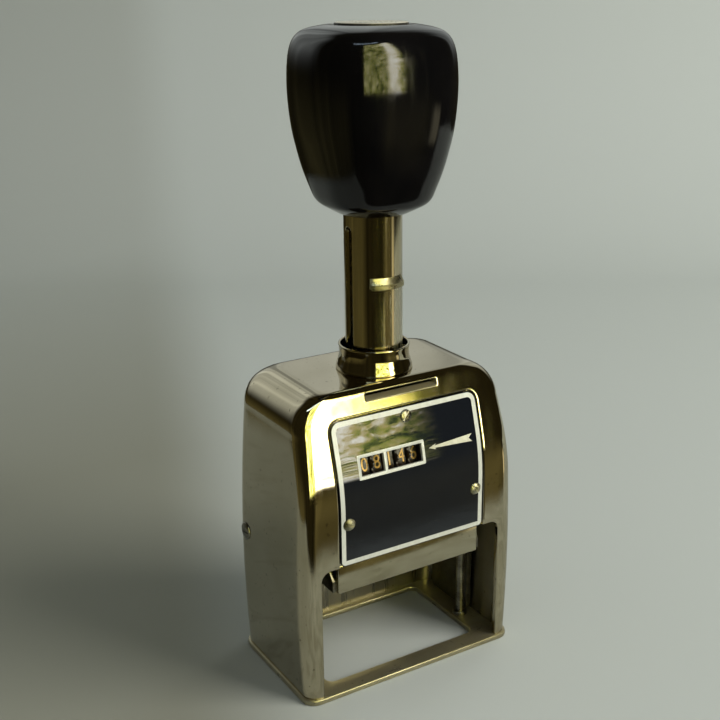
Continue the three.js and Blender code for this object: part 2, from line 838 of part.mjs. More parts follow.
// Return spring: one wire whose ends run straight up and down
class SpringLine extends THREE.Curve {
  constructor(low, high) {
    super();
    this.low = low;
    this.high = high;
  }

  getPoint(t, target = new THREE.Vector3()) {
    const straight = 2 * springWireRadius;
    const bottom = this.low + straight;
    const top = this.high - straight;
    const turn = t * springCurls * 2 * Math.PI;
    return target.set(
      springCoilRadius * Math.cos(turn),
      springCoilRadius * Math.sin(turn),
      bottom + (top - bottom) * t,
    );
  }
}

function makeSpring(low, high) {
  const line = new SpringLine(low, high);
  const endShare = 0.5;
  const steps = springCurls * stepsPerCurl;
  const frames = line.computeFrenetFrames(steps, false);
  const rings = [];
  const ringAt = (centre, normal, binormal) => {
    for (let i = 0; i < wireSides; i += 1) {
      const angle = 2 * Math.PI * i / wireSides;
      const point = centre.clone();
      point.addScaledVector(normal, springWireRadius * Math.cos(angle));
      point.addScaledVector(binormal, springWireRadius * Math.sin(angle));
      rings.push(point.x, point.y, point.z);
    }
  };
  const outward = new THREE.Vector3(1, 0, 0);
  const inward = new THREE.Vector3(0, 1, 0);
  const foot = line.getPoint(0).setZ(low);
  const head = line.getPoint(1).setZ(high);
  ringAt(foot, outward, inward);
  const centres = [];
  for (let i = 0; i <= steps; i += 1) {
    const centre = line.getPoint(i / steps);
    centres.push(centre);
    const radial = new THREE.Vector3(centre.x, centre.y, 0).normalize();
    const across = new THREE.Vector3().crossVectors(frames.tangents[i], radial).normalize();
    const end = i === 0 || i === steps;
    const level = new THREE.Vector3(-radial.y, radial.x, 0);
    across.lerp(level, end ? endShare : 0).normalize();
    ringAt(centre, radial, across);
  }
  ringAt(head, outward, inward);
  const count = rings.length / 3 / wireSides;
  const indices = [];
  for (let level = 0; level < count - 1; level += 1) {
    for (let i = 0; i < wireSides; i += 1) {
      const a = level * wireSides + i;
      const b = level * wireSides + (i + 1) % wireSides;
      indices.push(a, b, b + wireSides, a, b + wireSides, a + wireSides);
    }
  }
  const last = (count - 1) * wireSides;
  for (let i = 1; i < wireSides - 1; i += 1) {
    indices.push(0, i + 1, i, last, last + i, last + i + 1);
  }
  let least = Infinity;
  centres.forEach((centre, i) => {
    for (let j = i + stepsPerCurl / 2; j < centres.length; j += 1) {
      least = Math.min(least, centre.distanceTo(centres[j]) - 2 * springWireRadius);
    }
  });
  console.log(`return_spring least gap to itself ${least.toFixed(2)} mm`);
  const geometry = new THREE.BufferGeometry();
  geometry.setAttribute('position', new THREE.Float32BufferAttribute(rings, 3));
  geometry.setIndex(indices);
  return solidOf(geometry);
}

// Fixed body
const fixed = new THREE.Group();
fixed.add(
  piece('housing', makeHousing(), 'nickel'),
  piece('base_ring', makeBaseRing(), 'nickel'),
  piece('face_plate', makeFacePlate(), 'enamel'),
  piece('neck_collar', makeCollar(), 'nickel'),
);
for (const [name, [x, z]] of Object.entries(plateScrewPlaces)) {
  const screw = piece(name, makeScrew(screwHeadRadius, screwHeadHeight, frontWall), 'steel');
  fixed.add(facingFront(screw, x, z, 0));
}
for (const [label, side] of [['left', -1], ['right', 1]]) {
  const wallX = sideX(sideScrewZ);
  const shank = wallX - camPlateX - camPlateThickness / 2;
  const sideScrew = piece(`side_screw_${label}`, makeScrew(sideScrewHeadRadius, screwHeadHeight, shank), 'steel');
  sideScrew.rotation.set(0, side * Math.PI / 2, 0);
  fixed.add(placed(sideScrew, side * (wallX + gap / 2), sideScrewY, sideScrewZ));
  const rod = piece(`guide_rod_${label}`, roundZ(rodRadius, ringThickness, rodTop, smallSegments), 'steel');
  fixed.add(placed(rod, side * rodX, rodY, 0));
  fixed.add(piece(`cam_plate_${label}`, makeCamPlate(side), 'steel'));
}
const pinHalf = collarRimRadius - gap / 2;
fixed.add(placed(piece('cross_pin', roundX(crossPinRadius, -pinHalf, pinHalf, smallSegments), 'steel'), 0, 0, crossPinZ));
const springSeat = roundZ(tubeBore - gap, springSeatBottom, springSeatBottom + springSeatThickness);
fixed.add(piece('spring_seat', springSeat, 'steel'));
fixed.add(piece('return_spring', makeSpring(springBottom, springTop), 'steel'));

// Plunger: everything that goes down with the knob
const plunger = new THREE.Group();
plunger.add(
  piece('knob', makeKnob(), 'gloss'),
  piece('knob_cap', roundZ(knobCapRadius, knobTop - knobCapRecess, knobTop + knobCapProud), 'ivory'),
  piece('stem_tube', makeStemTube(), 'nickel'),
  piece('stem_plug', roundZ(tubeBore - gap, tubeTop - stemPlugThickness, tubeTop), 'steel'),
  piece('carriage_bridge', makeBridge(), 'steel'),
  piece('carriage_cheek_left', makeCheek(-1), 'steel'),
  piece('carriage_cheek_right', makeCheek(1), 'steel'),
);
const shaftPlaces = {
  print: { y: printShaftY, z: printShaftZ, half: armOuterX },
  reading: { y: readingShaftY, z: readingShaftZ, half: cheekOuterX + gap },
};
for (const [label, { y, z, half }] of Object.entries(shaftPlaces)) {
  plunger.add(placed(piece(`${label}_shaft`, roundX(shaftRadius, -half, half, smallSegments), 'steel'), 0, y, z));
  const leftSpacer = makeSpacer(-cheekInnerX + gap, wheelsLeft);
  const rightSpacer = makeSpacer(wheelsRight, cheekInnerX - gap);
  plunger.add(placed(piece(`${label}_spacer_left`, leftSpacer, 'brass'), 0, y, z));
  plunger.add(placed(piece(`${label}_spacer_right`, rightSpacer, 'brass'), 0, y, z));
}

// Type wheels and the reading wheels geared to them
const downAngle = -Math.PI / 2;
const halfTooth = Math.PI / digitCount / teethPerDigit;
for (let i = 0; i < wheelCount; i += 1) {
  const x = firstWheelX + i * wheelPitch;
  const printWheel = piece(`print_wheel_${i + 1}`, makeWheel(printRadius, downAngle, centresAngle), 'type');
  const readingTooth = centresAngle + Math.PI + halfTooth;
  const readingWheel = piece(`reading_wheel_${i + 1}`, makeWheel(readingRadius, windowAngle, readingTooth), 'brass');
  plunger.add(placed(printWheel, x, printShaftY, printShaftZ));
  plunger.add(placed(readingWheel, x, readingShaftY, readingShaftZ));
}

// Ink pad, swinging on the print shaft
const padSwing = new THREE.Group();
padSwing.position.set(0, printShaftY, printShaftZ);
padSwing.add(piece('pad_tray', makeTray(), 'nickel'), piece('ink_pad', makePad(), 'felt'));
for (const [label, side] of [['left', -1], ['right', 1]]) {
  padSwing.add(piece(`pad_arm_${label}`, makeArm(side), 'steel'));
  padSwing.add(piece(`pad_follower_${label}`, makeFollower(side), 'steel'));
}
plunger.add(padSwing);

const numberingMachine = new THREE.Group();
numberingMachine.add(fixed, plunger);
export default numberingMachine;
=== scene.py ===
# Hand numbering machine: nickelled housing, black palm knob, swinging ink pad and number wheels.
# Sizes are in millimetres and become metres when a mesh is made. Front is -Y and up is +Z.
import bmesh
import bpy
import json
import math
from functools import partial
from mathutils import Matrix, Vector, geometry


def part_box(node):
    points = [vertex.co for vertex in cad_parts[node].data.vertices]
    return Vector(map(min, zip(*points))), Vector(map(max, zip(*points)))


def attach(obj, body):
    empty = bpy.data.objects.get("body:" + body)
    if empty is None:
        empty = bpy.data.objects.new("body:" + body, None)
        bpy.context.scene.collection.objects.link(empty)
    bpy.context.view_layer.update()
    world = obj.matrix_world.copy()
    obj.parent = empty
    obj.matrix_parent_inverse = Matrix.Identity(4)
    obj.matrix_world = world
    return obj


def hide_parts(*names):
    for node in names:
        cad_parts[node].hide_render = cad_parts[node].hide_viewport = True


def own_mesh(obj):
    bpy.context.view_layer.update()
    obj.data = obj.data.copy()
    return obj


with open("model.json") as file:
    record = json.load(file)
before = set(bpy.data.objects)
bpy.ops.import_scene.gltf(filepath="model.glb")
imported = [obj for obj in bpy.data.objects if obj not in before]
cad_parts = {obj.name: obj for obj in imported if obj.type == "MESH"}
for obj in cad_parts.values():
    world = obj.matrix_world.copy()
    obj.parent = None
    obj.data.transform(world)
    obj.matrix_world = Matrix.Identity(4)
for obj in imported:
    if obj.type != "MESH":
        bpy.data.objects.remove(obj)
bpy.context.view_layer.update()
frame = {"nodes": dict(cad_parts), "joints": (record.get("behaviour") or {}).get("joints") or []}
mm = 0.001
quarter = math.pi / 2
print("frame loaded:", len(frame["nodes"]), "nodes")


def boxOf(node):
    low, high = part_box(node)
    return low / mm, high / mm


def centreOf(node):
    low, high = boxOf(node)
    return (low + high) / 2


def valuesOf(table, names):
    return [table[name] for name in names.split()]


# Fills a node's inputs, by name, by number or in order. A node given as a value stands for its first output in
# use, and a list links each of its items.
def feed(node, inputs):
    for key, value in inputs.items() if isinstance(inputs, dict) else enumerate(inputs):
        for source in value if isinstance(value, list) else [value]:
            if isinstance(source, bpy.types.Node):
                source = next(socket for socket in source.outputs if socket.enabled)
            if isinstance(source, bpy.types.NodeSocket):
                node.id_data.links.new(source, node.inputs[key])
            else:
                node.inputs[key].default_value = source
    return node


def addNode(tree, kind, inputs=(), **settings):
    family = "GeometryNode" if hasattr(bpy.types, "GeometryNode" + kind) else "ShaderNode"
    node = tree.nodes.new(kind if kind.startswith("NodeGroup") else family + kind)
    for key, value in settings.items():
        setattr(node, key, value)
    return feed(node, inputs)


# Colours are written as sRGB hex and turned to linear here
def linear(hexColour, strength=1.0):
    channels = [int(hexColour[i:i + 2], 16) / 255 for i in (1, 3, 5)]
    channels = [c / 12.92 if c <= 0.04045 else ((c + 0.055) / 1.055) ** 2.4 for c in channels] + [1]
    return tuple(c * strength for c in channels)


def objectOf(name, data):
    obj = bpy.data.objects.new(name, data)
    bpy.context.scene.collection.objects.link(obj)
    return obj


# Camera and studio: angles in degrees, azimuth from the front towards +X
cameraSet = dict(place=(-141.8, -229.4, 171.4), pitch=18.82, roll=-0.47, lens=57.1, sensor=36, shiftX=-0.0195,
                 clip=(0.01, 20))


def makeCamera(values):
    data = bpy.data.cameras.new("camera")
    data.lens, data.sensor_width, data.shift_x = valuesOf(values, "lens sensor shiftX")
    data.clip_start, data.clip_end = values["clip"]
    camera = objectOf("camera", data)
    place = Vector(values["place"])
    pitch, roll = math.radians(values["pitch"]), math.radians(values["roll"])
    look = Vector((-place.x, -place.y, 0)).normalized() * math.cos(pitch) - Vector((0, 0, math.sin(pitch)))
    side = look.cross(Vector((0, 0, 1))).normalized()
    up = side.cross(look)
    side, up = side * math.cos(roll) + up * math.sin(roll), up * math.cos(roll) - side * math.sin(roll)
    camera.matrix_world = Matrix.Translation(place * mm) @ Matrix((side, up, -look)).transposed().to_4x4()
    bpy.context.scene.camera = camera


studio = dict(
    lampTarget=(0, 0, 70), lamps=[
        dict(name="key", place=(640, -740, 560), size=620, power=18, colour="#fffaf0"),
        dict(name="back", place=(620, 520, 760), size=600, power=10, colour="#f4f8ff"),
    ],
    skyColour="#e4e6e2", skyLight=0.62, skyShown=0.75,
    room="#2d2816", roomStripes=4.5, stripeRange=(0.3, 0.7, 0.5, 1.3),
    glows=[
        dict(azimuth=(95, 215), elevation=(6, 44), soft=9.0, colour="#d3d8d4", strength=1.0),
        dict(azimuth=(-160, -66), elevation=(-40, -9), soft=13.0, colour="#6d6540", strength=1.0),
        dict(azimuth=(12, 45), elevation=(-30, -9), soft=8.0, colour="#766d46", strength=1.0),
        dict(azimuth=(46, 56), elevation=(-24, -12), soft=2.5, colour="#fff2c8", strength=1.2),
        dict(azimuth=(-62, 16), elevation=(55, 58), soft=1.0, colour="#a9bccb", strength=12.0),
    ],
    window=dict(azimuth=(-26, 31), elevation=(-6, 50), soft=1.5, strength=24.0, pale=(17, 28), paleSoft=4,
                paleLift=0.14, leafLift=-0.015),
    leaves=[(0.41, "#050704"), (0.46, "#2e3a12"), (0.5, "#6f7628"), (0.55, "#9a8b5a"), (0.62, "#c9c8bc")],
    leafSizes=((5.0, 0.4), (50.0, 0.6)), leafFlatness=4.0, leafTwist=1.2,
)


# One inside the band, nought outside it, eased over twice soft at each end
def bandOf(add, value, low, high, soft):
    ends = [add("MapRange", (value, start, end), interpolation_type="SMOOTHSTEP")
            for start, end in ((low - soft, low + soft), (high + soft, high - soft))]
    return add("Math", ends, operation="MULTIPLY")


# What polished metal reflects: a dim room with a leafy window to the front right, a thin strip of sky above it
# and the pale backdrop behind. Other rays see a plain sky.
def makeWorld(values):
    world = bpy.context.scene.world = bpy.data.worlds.new("studio")
    world.use_nodes = True
    world.node_tree.nodes.clear()
    add = partial(addNode, world.node_tree)
    ray = add("LightPath").outputs
    towards = add("TexCoord").outputs["Generated"]
    x, y, z = add("SeparateXYZ", (towards,)).outputs
    ahead = add("Math", (y, -1.0), operation="MULTIPLY")
    azimuth = add("Math", (x, ahead), operation="ARCTAN2")
    behind = add("Math", (azimuth, 4 * quarter), operation="FLOORED_MODULO")
    elevation = add("Math", (z,), operation="ARCSINE")

    def patchOf(patch):
        heading = behind if patch["azimuth"][1] > 180 else azimuth
        bands = [bandOf(add, angle, *(math.radians(v) for v in (*patch[key], patch["soft"])))
                 for key, angle in (("azimuth", heading), ("elevation", elevation))]
        return add("Math", bands, operation="MULTIPLY")

    window = values["window"]
    flattened = add("Mapping", {"Vector": towards, "Scale": (1, 1, values["leafFlatness"])})
    (coarse, coarseShare), (fine, fineShare) = values["leafSizes"]
    masses, twigs = [add("TexNoise", {
        "Vector": flattened, "Scale": scale, "Detail": 4.0, "Distortion": values["leafTwist"]})
        for scale in (coarse, fine)]
    twigs = add("Math", (twigs, fineShare), operation="MULTIPLY")
    blot = add("Math", (masses, coarseShare, twigs), operation="MULTIPLY_ADD")
    pale = bandOf(add, azimuth, *(math.radians(v) for v in (*window["pale"], window["paleSoft"])))
    lift = add("Math", (pale, window["paleLift"], window["leafLift"]), operation="MULTIPLY_ADD")
    leaves = add("ValToRGB", (add("Math", (blot, lift), operation="ADD"),))
    stops = leaves.color_ramp.elements
    while len(stops) < len(values["leaves"]):
        stops.new(0.5)
    for stop, (place, colour) in zip(stops, values["leaves"]):
        stop.position, stop.color = place, linear(colour)
    bright = add("VectorMath", {0: leaves, "Scale": window["strength"]}, operation="SCALE")
    stripes = add("TexNoise", {"W": azimuth, "Scale": values["roomStripes"], "Detail": 4.0},
                      noise_dimensions="1D")
    room = linear(values["room"])
    for glow in values["glows"]:
        room = add("Mix", {0: patchOf(glow), 6: room, 7: linear(glow["colour"], glow["strength"])},
                       data_type="RGBA")
    streaks = add("MapRange", (stripes, *values["stripeRange"]))
    streaked = add("VectorMath", {0: room, "Scale": streaks}, operation="SCALE")
    reflected = add("Mix", {0: patchOf(window), 6: streaked, 7: bright}, data_type="RGBA")
    mirror = add("Math", (ray["Is Glossy Ray"], ray["Is Transmission Ray"]), operation="MAXIMUM")
    colour = add("Mix", {0: mirror, 6: linear(values["skyColour"]), 7: reflected}, data_type="RGBA")
    shown = add("MapRange", (ray["Is Camera Ray"], 0.0, 1.0, values["skyLight"], values["skyShown"]))
    strength = add("Math", (shown, mirror), operation="MAXIMUM")
    add("OutputWorld", {"Surface": add("Background", {"Color": colour, "Strength": strength})})


def makeLamps(values):
    target = Vector(values["lampTarget"])
    for lamp in values["lamps"]:
        data = bpy.data.lights.new(lamp["name"], "AREA")
        data.size, data.energy, data.color = lamp["size"] * mm, lamp["power"], linear(lamp["colour"])[:3]
        obj = objectOf(lamp["name"], data)
        obj.location = Vector(lamp["place"]) * mm
        obj.rotation_euler = (target - Vector(lamp["place"])).to_track_quat("-Z", "Y").to_euler()
        obj.visible_glossy = False


# A Principled material with what adds its nodes, its shader and the object's own coordinates
def shaderOf(name, **sockets):
    material = bpy.data.materials.new(name)
    material.use_nodes = True
    add = partial(addNode, material.node_tree)
    sockets = {key.replace("_", " "): value for key, value in sockets.items()}
    shader = feed(material.node_tree.nodes["Principled BSDF"], sockets)
    return material, add, shader, add("TexCoord").outputs["Object"]


# Noise of a real grain size: scale counts features per metre
def grain(add, place, size, stretch=(1, 1, 1), detail=3.0, distortion=0.0):
    scaled = add("Mapping", {"Vector": place, "Scale": stretch})
    return add("TexNoise", {
        "Vector": scaled, "Scale": 1 / (size * mm), "Detail": detail, "Distortion": distortion})


# Two colours mixed by how far a value has gone through its range, up to a greatest share
def blended(add, value, low, high, most, first, second):
    share = add("MapRange", (value, low, high, 0, most))
    return add("Mix", {0: share, 6: linear(first), 7: linear(second)}, data_type="RGBA")


def coat(add, shader, colour, rough, height, depth, strength=1.0):
    bump = add("Bump", {"Height": height, "Strength": strength, "Distance": depth * mm})
    feed(shader, {"Base Color": colour, "Roughness": rough, "Normal": bump})


# Seamless paper: a floor that curves up behind, with painted shade on the left. In reflections the painted shade is
# weaker and painted fold shading makes it look creased like a cloth, and only a cloth's width of it shows, as under
# the machine.
paperSet = dict(
    half=2600, rear=620, bend=250, turn=-31.7, colour="#a1a7a4", shade="#787a70", shadeLean=-0.35,
    shadeEdge=(-5, -60), shadeFade=(150, 450, 1.0, 0.3), mirroredFade=-0.6,
    foldShadeGrain=15, foldShadeRange=(0.42, 0.62, 0, 0.55), front=(-77, -93), heading=(61, 55), middle=(190, 60, 0),
    reach=(335, 385),
)


# Points of an arc about a centre, and even steps between two values: both ends included
def arc(x, y, radius, start, turn, steps):
    angles = [start + turn * i / steps for i in range(steps + 1)]
    return [(x + radius * math.cos(angle), y + radius * math.sin(angle)) for angle in angles]


def evenly(first, last, count):
    return [first + (last - first) * i / count for i in range(count + 1)]


def makePaper(values):
    half, rear, bend = valuesOf(values, "half rear bend")
    profile = [(-half, 0)] + arc(rear - bend, bend, bend, -quarter, quarter, 24) + [(rear, half)]
    turn = Matrix.Rotation(math.radians(values["turn"]), 3, "Z")
    points = [turn @ Vector((side * half, y, z)) * mm for y, z in profile for side in (-1, 1)]
    mesh = bpy.data.meshes.new("studio_floor")
    mesh.from_pydata(points, [], [(2 * i, 2 * i + 1, 2 * i + 3, 2 * i + 2) for i in range(len(profile) - 1)])
    mesh.shade_smooth()
    paper, add, shader, place = shaderOf("studio_paper", Roughness=0.9, Specular_IOR_Level=0.1)
    across, ahead, _ = add("SeparateXYZ", (place,)).outputs
    # Painted shade: the colour darkens towards the left and back of the machine, fainter further away and in
    # reflections
    leftwards = add("Math", (ahead, values["shadeLean"], across), operation="MULTIPLY_ADD")
    towards = add("Math", (ahead, -1.0), operation="MULTIPLY")
    heading = add("Math", (across, towards), operation="ARCTAN2")
    away = add("VectorMath", (place, Vector(values["middle"]) * mm), operation="DISTANCE")
    aside, past, within, beyond = [
        add("MapRange", (value, *(v * unit for v in values[key])), interpolation_type="SMOOTHSTEP")
        for value, key, unit in ((leftwards, "shadeEdge", mm), (ahead, "front", mm),
                                 (heading, "heading", math.radians(1)), (away, "reach", mm))]
    start, end, *shares = values["shadeFade"]
    fading = add("MapRange", (ahead, start * mm, end * mm, *shares))
    mirrored = add("LightPath").outputs["Is Glossy Ray"]
    # Painted fold shading: darker patches of noise, like the creases of a cloth, seen only in reflections
    creaseShade = grain(add, place, values["foldShadeGrain"], detail=5, distortion=1.5)
    creaseShade = add("MapRange", (creaseShade, *values["foldShadeRange"]))
    foldShade = add("Math", (mirrored, creaseShade), operation="MULTIPLY")
    fainter = add("Math", (mirrored, values["mirroredFade"], 1.0), operation="MULTIPLY_ADD")
    shade = add("Math", (fading, fainter), operation="MULTIPLY")
    shade = add("Math", (aside, shade), operation="MULTIPLY")
    shade = add("Math", (shade, foldShade), operation="MAXIMUM")
    tone = {0: shade, 6: linear(values["colour"]), 7: linear(values["shade"])}
    feed(shader, {"Base Color": add("Mix", tone, data_type="RGBA")})
    ended = add("Math", (past, within), operation="MULTIPLY")
    ended = add("Math", (ended, beyond), operation="MAXIMUM")
    clear = add("Math", (ended, mirrored), operation="MULTIPLY")
    shown = add("MixShader", (clear, shader, add("BsdfTransparent")))
    feed(paper.node_tree.nodes["Material Output"], {"Surface": shown})
    mesh.materials.append(paper)
    floor = objectOf("studio_floor", mesh)


# Materials. In their tables a grain is a size in millimetres, and a range runs from low to high.
# Bright nickel on pressed and polished steel: warm grey mirror, hazed by wiping, with a few dull spots
nickelFinish = dict(
    hazeGrain=3.2, hazeRange=(0.35, 0.75), smoother=0.75, rougher=1.6, spotGrain=1.1,
    spotRange=(0.69, 0.78, 0, 0.55), spotColour="#5c5440", toneGrain=16, toneRange=(0.35, 0.7, 0.5),
    lineGrain=0.8, waveGrain=7, depth=0.02, bump=0.5,
)


def makeNickel(name, colour, dull, roughness, along=(1, 1, 1), brushed=0.0, bare=1.0):
    material, add, shader, place = shaderOf(name, Metallic=bare)
    values = nickelFinish
    haze = grain(add, place, values["hazeGrain"], stretch=along, detail=4, distortion=0.4)
    spots = grain(add, place, values["spotGrain"], detail=1)
    spots = add("MapRange", (spots, *values["spotRange"]))
    tone = blended(add, grain(add, place, values["toneGrain"], detail=2), *values["toneRange"], colour, dull)
    tone = add("Mix", {0: spots, 6: tone, 7: linear(values["spotColour"])}, data_type="RGBA")
    rough = add("MapRange", (
        haze, *values["hazeRange"], roughness * values["smoother"], roughness * values["rougher"]))
    lines = grain(add, place, values["lineGrain"], stretch=along, detail=3)
    waves = grain(add, place, values["waveGrain"], detail=1)
    height = add("Math", (lines, brushed, waves), operation="MULTIPLY_ADD")
    coat(add, shader, tone, rough, height, values["depth"], values["bump"])
    return material


# The drawn tube of the stem: lengthwise lines, and the plating rubbed grey in front, from the lug down, where it
# runs in the collar
wornStem = dict(
    below=(101, 97), across=(-3.5, 1.5), rubbed="#c6c2b0", rubbedRough=0.28, patchRange=(0.35, 0.6), lineGrain=0.7,
    lineStretch=(1, 1, 0.02), toneGrain=2, toneStretch=(1, 1, 0.1), toneRange=(0.35, 0.7, 0.6),
    roughRange=(0.3, 0.7, 0.07, 0.16), depth=0.012, bump=0.8,
)


def makeWornStem(name, colour, dull):
    material, add, shader, place = shaderOf(name, Metallic=1.0)
    values = wornStem
    lines = grain(add, place, values["lineGrain"], stretch=values["lineStretch"], detail=4)
    across, _, height = add("SeparateXYZ", (place,)).outputs
    zones = [add("MapRange", (value, low * mm, high * mm))
             for value, (low, high) in ((height, values["below"]), (across, values["across"]))]
    zone = add("Math", zones, operation="MULTIPLY")
    patchy = add("MapRange", (lines, *values["patchRange"]))
    rubbed = add("Math", (zone, patchy), operation="MULTIPLY")
    tone = grain(add, place, values["toneGrain"], stretch=values["toneStretch"])
    tone = blended(add, tone, *values["toneRange"], colour, dull)
    tone = add("Mix", {0: rubbed, 6: tone, 7: linear(values["rubbed"])}, data_type="RGBA")
    drawn = add("MapRange", (lines, *values["roughRange"]))
    rough = add("Math", (rubbed, values["rubbedRough"], drawn), operation="MULTIPLY_ADD")
    coat(add, shader, tone, rough, lines, values["depth"], values["bump"])
    return material


# Drawn or turned steel: fine lines along the work, greyer and rougher than the plating
steelFinish = dict(
    lineGrain=0.9, toneGrain=5, toneRange=(0.3, 0.7, 1), dull="#4a463c", lineRange=(0.3, 0.7), smoother=0.7,
    rougher=1.4, bump=0.6,
)


def makeSteel(name, colour, roughness, along=(1, 1, 12), depth=0.015):
    material, add, shader, place = shaderOf(name, Metallic=1.0)
    values = steelFinish
    lines = grain(add, place, values["lineGrain"], stretch=along, detail=4)
    tone = blended(add, grain(add, place, values["toneGrain"]), *values["toneRange"], colour, values["dull"])
    rough = add("MapRange", (
        lines, *values["lineRange"], roughness * values["smoother"], roughness * values["rougher"]))
    coat(add, shader, tone, rough, lines, depth, values["bump"])
    return material


# Stove enamel and moulded plastics: smooth gloss, faint swirls from wiping, fine dust in the gloss
glossFinish = dict(
    bend=1.53, cloudGrain=9, cloudRange=(0.4, 0.8), swirlStretch=(1, 1, 0.25), swirlTwist=0.8,
    swirlRange=(0.4, 0.8), smoother=0.7, rougher=1.9, depth=0.02, bump=0.4,
)


def makeGloss(name, colour, worn, roughness, spotSize=1.4, wear=0.12, shine=0.5):
    values = glossFinish
    material, add, shader, place = shaderOf(name, Metallic=0.0, IOR=values["bend"], Specular_IOR_Level=shine)
    cloud = grain(add, place, values["cloudGrain"])
    tone = blended(add, cloud, *values["cloudRange"], wear, colour, worn)
    swirl = grain(add, place, spotSize, values["swirlStretch"], 5, values["swirlTwist"])
    rough = add("MapRange", (
        swirl, *values["swirlRange"], roughness * values["smoother"], roughness * values["rougher"]))
    coat(add, shader, tone, rough, cloud, values["depth"], values["bump"])
    return material


# Ink-soaked felt: matted fibres under half a millimetre, almost black violet, a little lighter where dry
feltFinish = dict(
    sheen=0.4, fibreGrain=0.45, fibreTwist=1.5, dryGrain=6, dryRange=(0.4, 0.7, 1), soaked="#17152a", dry="#2d2a45",
    mattedRange=(0.4, 0.7, 0, 0.6), matted="#4a466a", rough=0.95, depth=0.25,
)


def makeFelt(name):
    values = feltFinish
    material, add, shader, place = shaderOf(name, Sheen_Weight=values["sheen"])
    fibre = grain(add, place, values["fibreGrain"], detail=5, distortion=values["fibreTwist"])
    dry = grain(add, place, values["dryGrain"])
    dry = blended(add, dry, *values["dryRange"], values["soaked"], values["dry"])
    matted = add("MapRange", (fibre, *values["mattedRange"]))
    tone = add("Mix", {0: matted, 6: dry, 7: linear(values["matted"])}, data_type="RGBA")
    coat(add, shader, tone, values["rough"], fibre, values["depth"])
    return material


makeCamera(cameraSet)
bpy.context.scene.view_settings.view_transform = "Standard"
makeWorld(studio)
makePaper(paperSet)
makeLamps(studio)
print("camera and studio ready")

nickel = makeNickel("polished_nickel_plate", "#b9b098", "#a39a7e", 0.06, along=(1, 1, 0.05), brushed=0.05)
stemNickel = makeWornStem("drawn_nickel_tube", "#b3aa8e", "#938a6d")
barNickel = makeNickel("polished_nickel_bar", "#b7af96", "#a1987c", 0.12)
innerNickel = makeNickel("dull_inner_plating", "#a39d8c", "#827b69", 0.3, along=(1, 1, 0.06), brushed=0.4)
baseNickel = makeNickel("rubbed_base_plating", "#a09a80", "#7f785f", 0.36, along=(0.15, 1, 1), bare=0.82)
screwNickel = makeSteel("worn_nickelled_screw", "#c9c5ae", 0.42, along=(1, 1, 1))
lugNickel = makeSteel("worn_bare_lug", "#cbc49f", 0.33, along=(1, 1, 1), depth=0.06)
steel = makeSteel("turned_steel", "#a09c8e", 0.3)
stripSteel = makeSteel("rolled_steel_strip", "#716e64", 0.38, along=(1, 6, 1))
springSteel = makeSteel("oiled_spring_wire", "#5d5a52", 0.32)
brass = makeSteel("turned_brass", "#a98a4c", 0.34, along=(6, 1, 1))
typeMetal = makeSteel("inked_type_metal", "#2b2725", 0.55, along=(1, 1, 1))
blackEnamel = makeGloss("black_stove_enamel", "#111418", "#1c2026", 0.022)
paleEnamel = makeGloss("cream_enamel_line", "#b4b7ab", "#94968a", 0.25, wear=0.5)
arrowEnamel = makeGloss("cream_enamel_arrow", "#b3b39e", "#87866f", 0.3, wear=0.6)
knobPlastic = makeGloss("black_moulded_knob", "#060607", "#0f0e0e", 0.09, spotSize=2.2, wear=0.5, shine=0.34)
capPlastic = makeGloss("ivory_moulded_cap", "#aeac9c", "#7f7c6a", 0.35, wear=0.9)
# A dark finish for the cap's rounded edge, where it drops into the knob
capEdgeDark = makeGloss("dark_cap_edge", "#1c1a15", "#2f2b22", 0.5, wear=0.8)
drumBlack = makeGloss("brown_black_drum", "#17110c", "#2a1e14", 0.38, wear=0.6)
goldPaint = makeGloss("gold_figure_paint", "#c9a04c", "#9c7833", 0.4, wear=0.7)
felt = makeFelt("ink_soaked_felt")
print("materials ready")


# Mesh gathering: points in millimetres, faces with a finish number
class Skin:
    def __init__(self):
        self.points, self.faces, self.finishes = [], [], []

    def add(self, points, faces, finish=0):
        start = len(self.points)
        self.points += [Vector(p) for p in points]
        self.faces += [[start + i for i in face] for face in faces]
        self.finishes += [finish] * len(faces) if isinstance(finish, int) else list(finish)

    def strip(self, rings, closed=True, finish=0):
        count = len(rings[0])
        corners = [(level * count + i, level * count + (i + 1) % count) for level in range(len(rings) - 1)
                   for i in range(count if closed else count - 1)]
        self.add([p for ring in rings for p in ring], [(a, b, b + count, a + count) for a, b in corners], finish)

    def fan(self, ring, centre):
        count = len(ring)
        self.add([*ring, centre], [(i, (i + 1) % count, count) for i in range(count)])


def finishMesh(name, work, materials=(), smooth=35):
    mesh = bpy.data.meshes.new(name)
    work.to_mesh(mesh)
    work.free()
    for material in materials:
        mesh.materials.append(material)
    mesh.shade_smooth()
    mesh.set_sharp_from_angle(angle=math.radians(smooth))
    return mesh


# Welds the skin, closes what is left open and turns every face outwards
def weld(skin):
    work = bmesh.new()
    made = [work.verts.new(p * mm) for p in skin.points]
    for face, finish in zip(skin.faces, skin.finishes):
        work.faces.new([made[i] for i in face]).material_index = finish
    bmesh.ops.remove_doubles(work, verts=work.verts, dist=2e-7)
    bmesh.ops.dissolve_degenerate(work, edges=work.edges, dist=1e-8)
    bmesh.ops.holes_fill(work, edges=[e for e in work.edges if e.is_boundary], sides=0)
    bmesh.ops.recalc_face_normals(work, faces=work.faces)
    return work


def bevelSharp(work, width, segments, angle):
    sharp = [e for e in work.edges if len(e.link_faces) == 2 and e.calc_face_angle(0) > math.radians(angle)]
    bmesh.ops.bevel(work, geom=sharp, offset=width * mm, segments=segments, profile=0.5, affect="EDGES",
                    clamp_overlap=True)


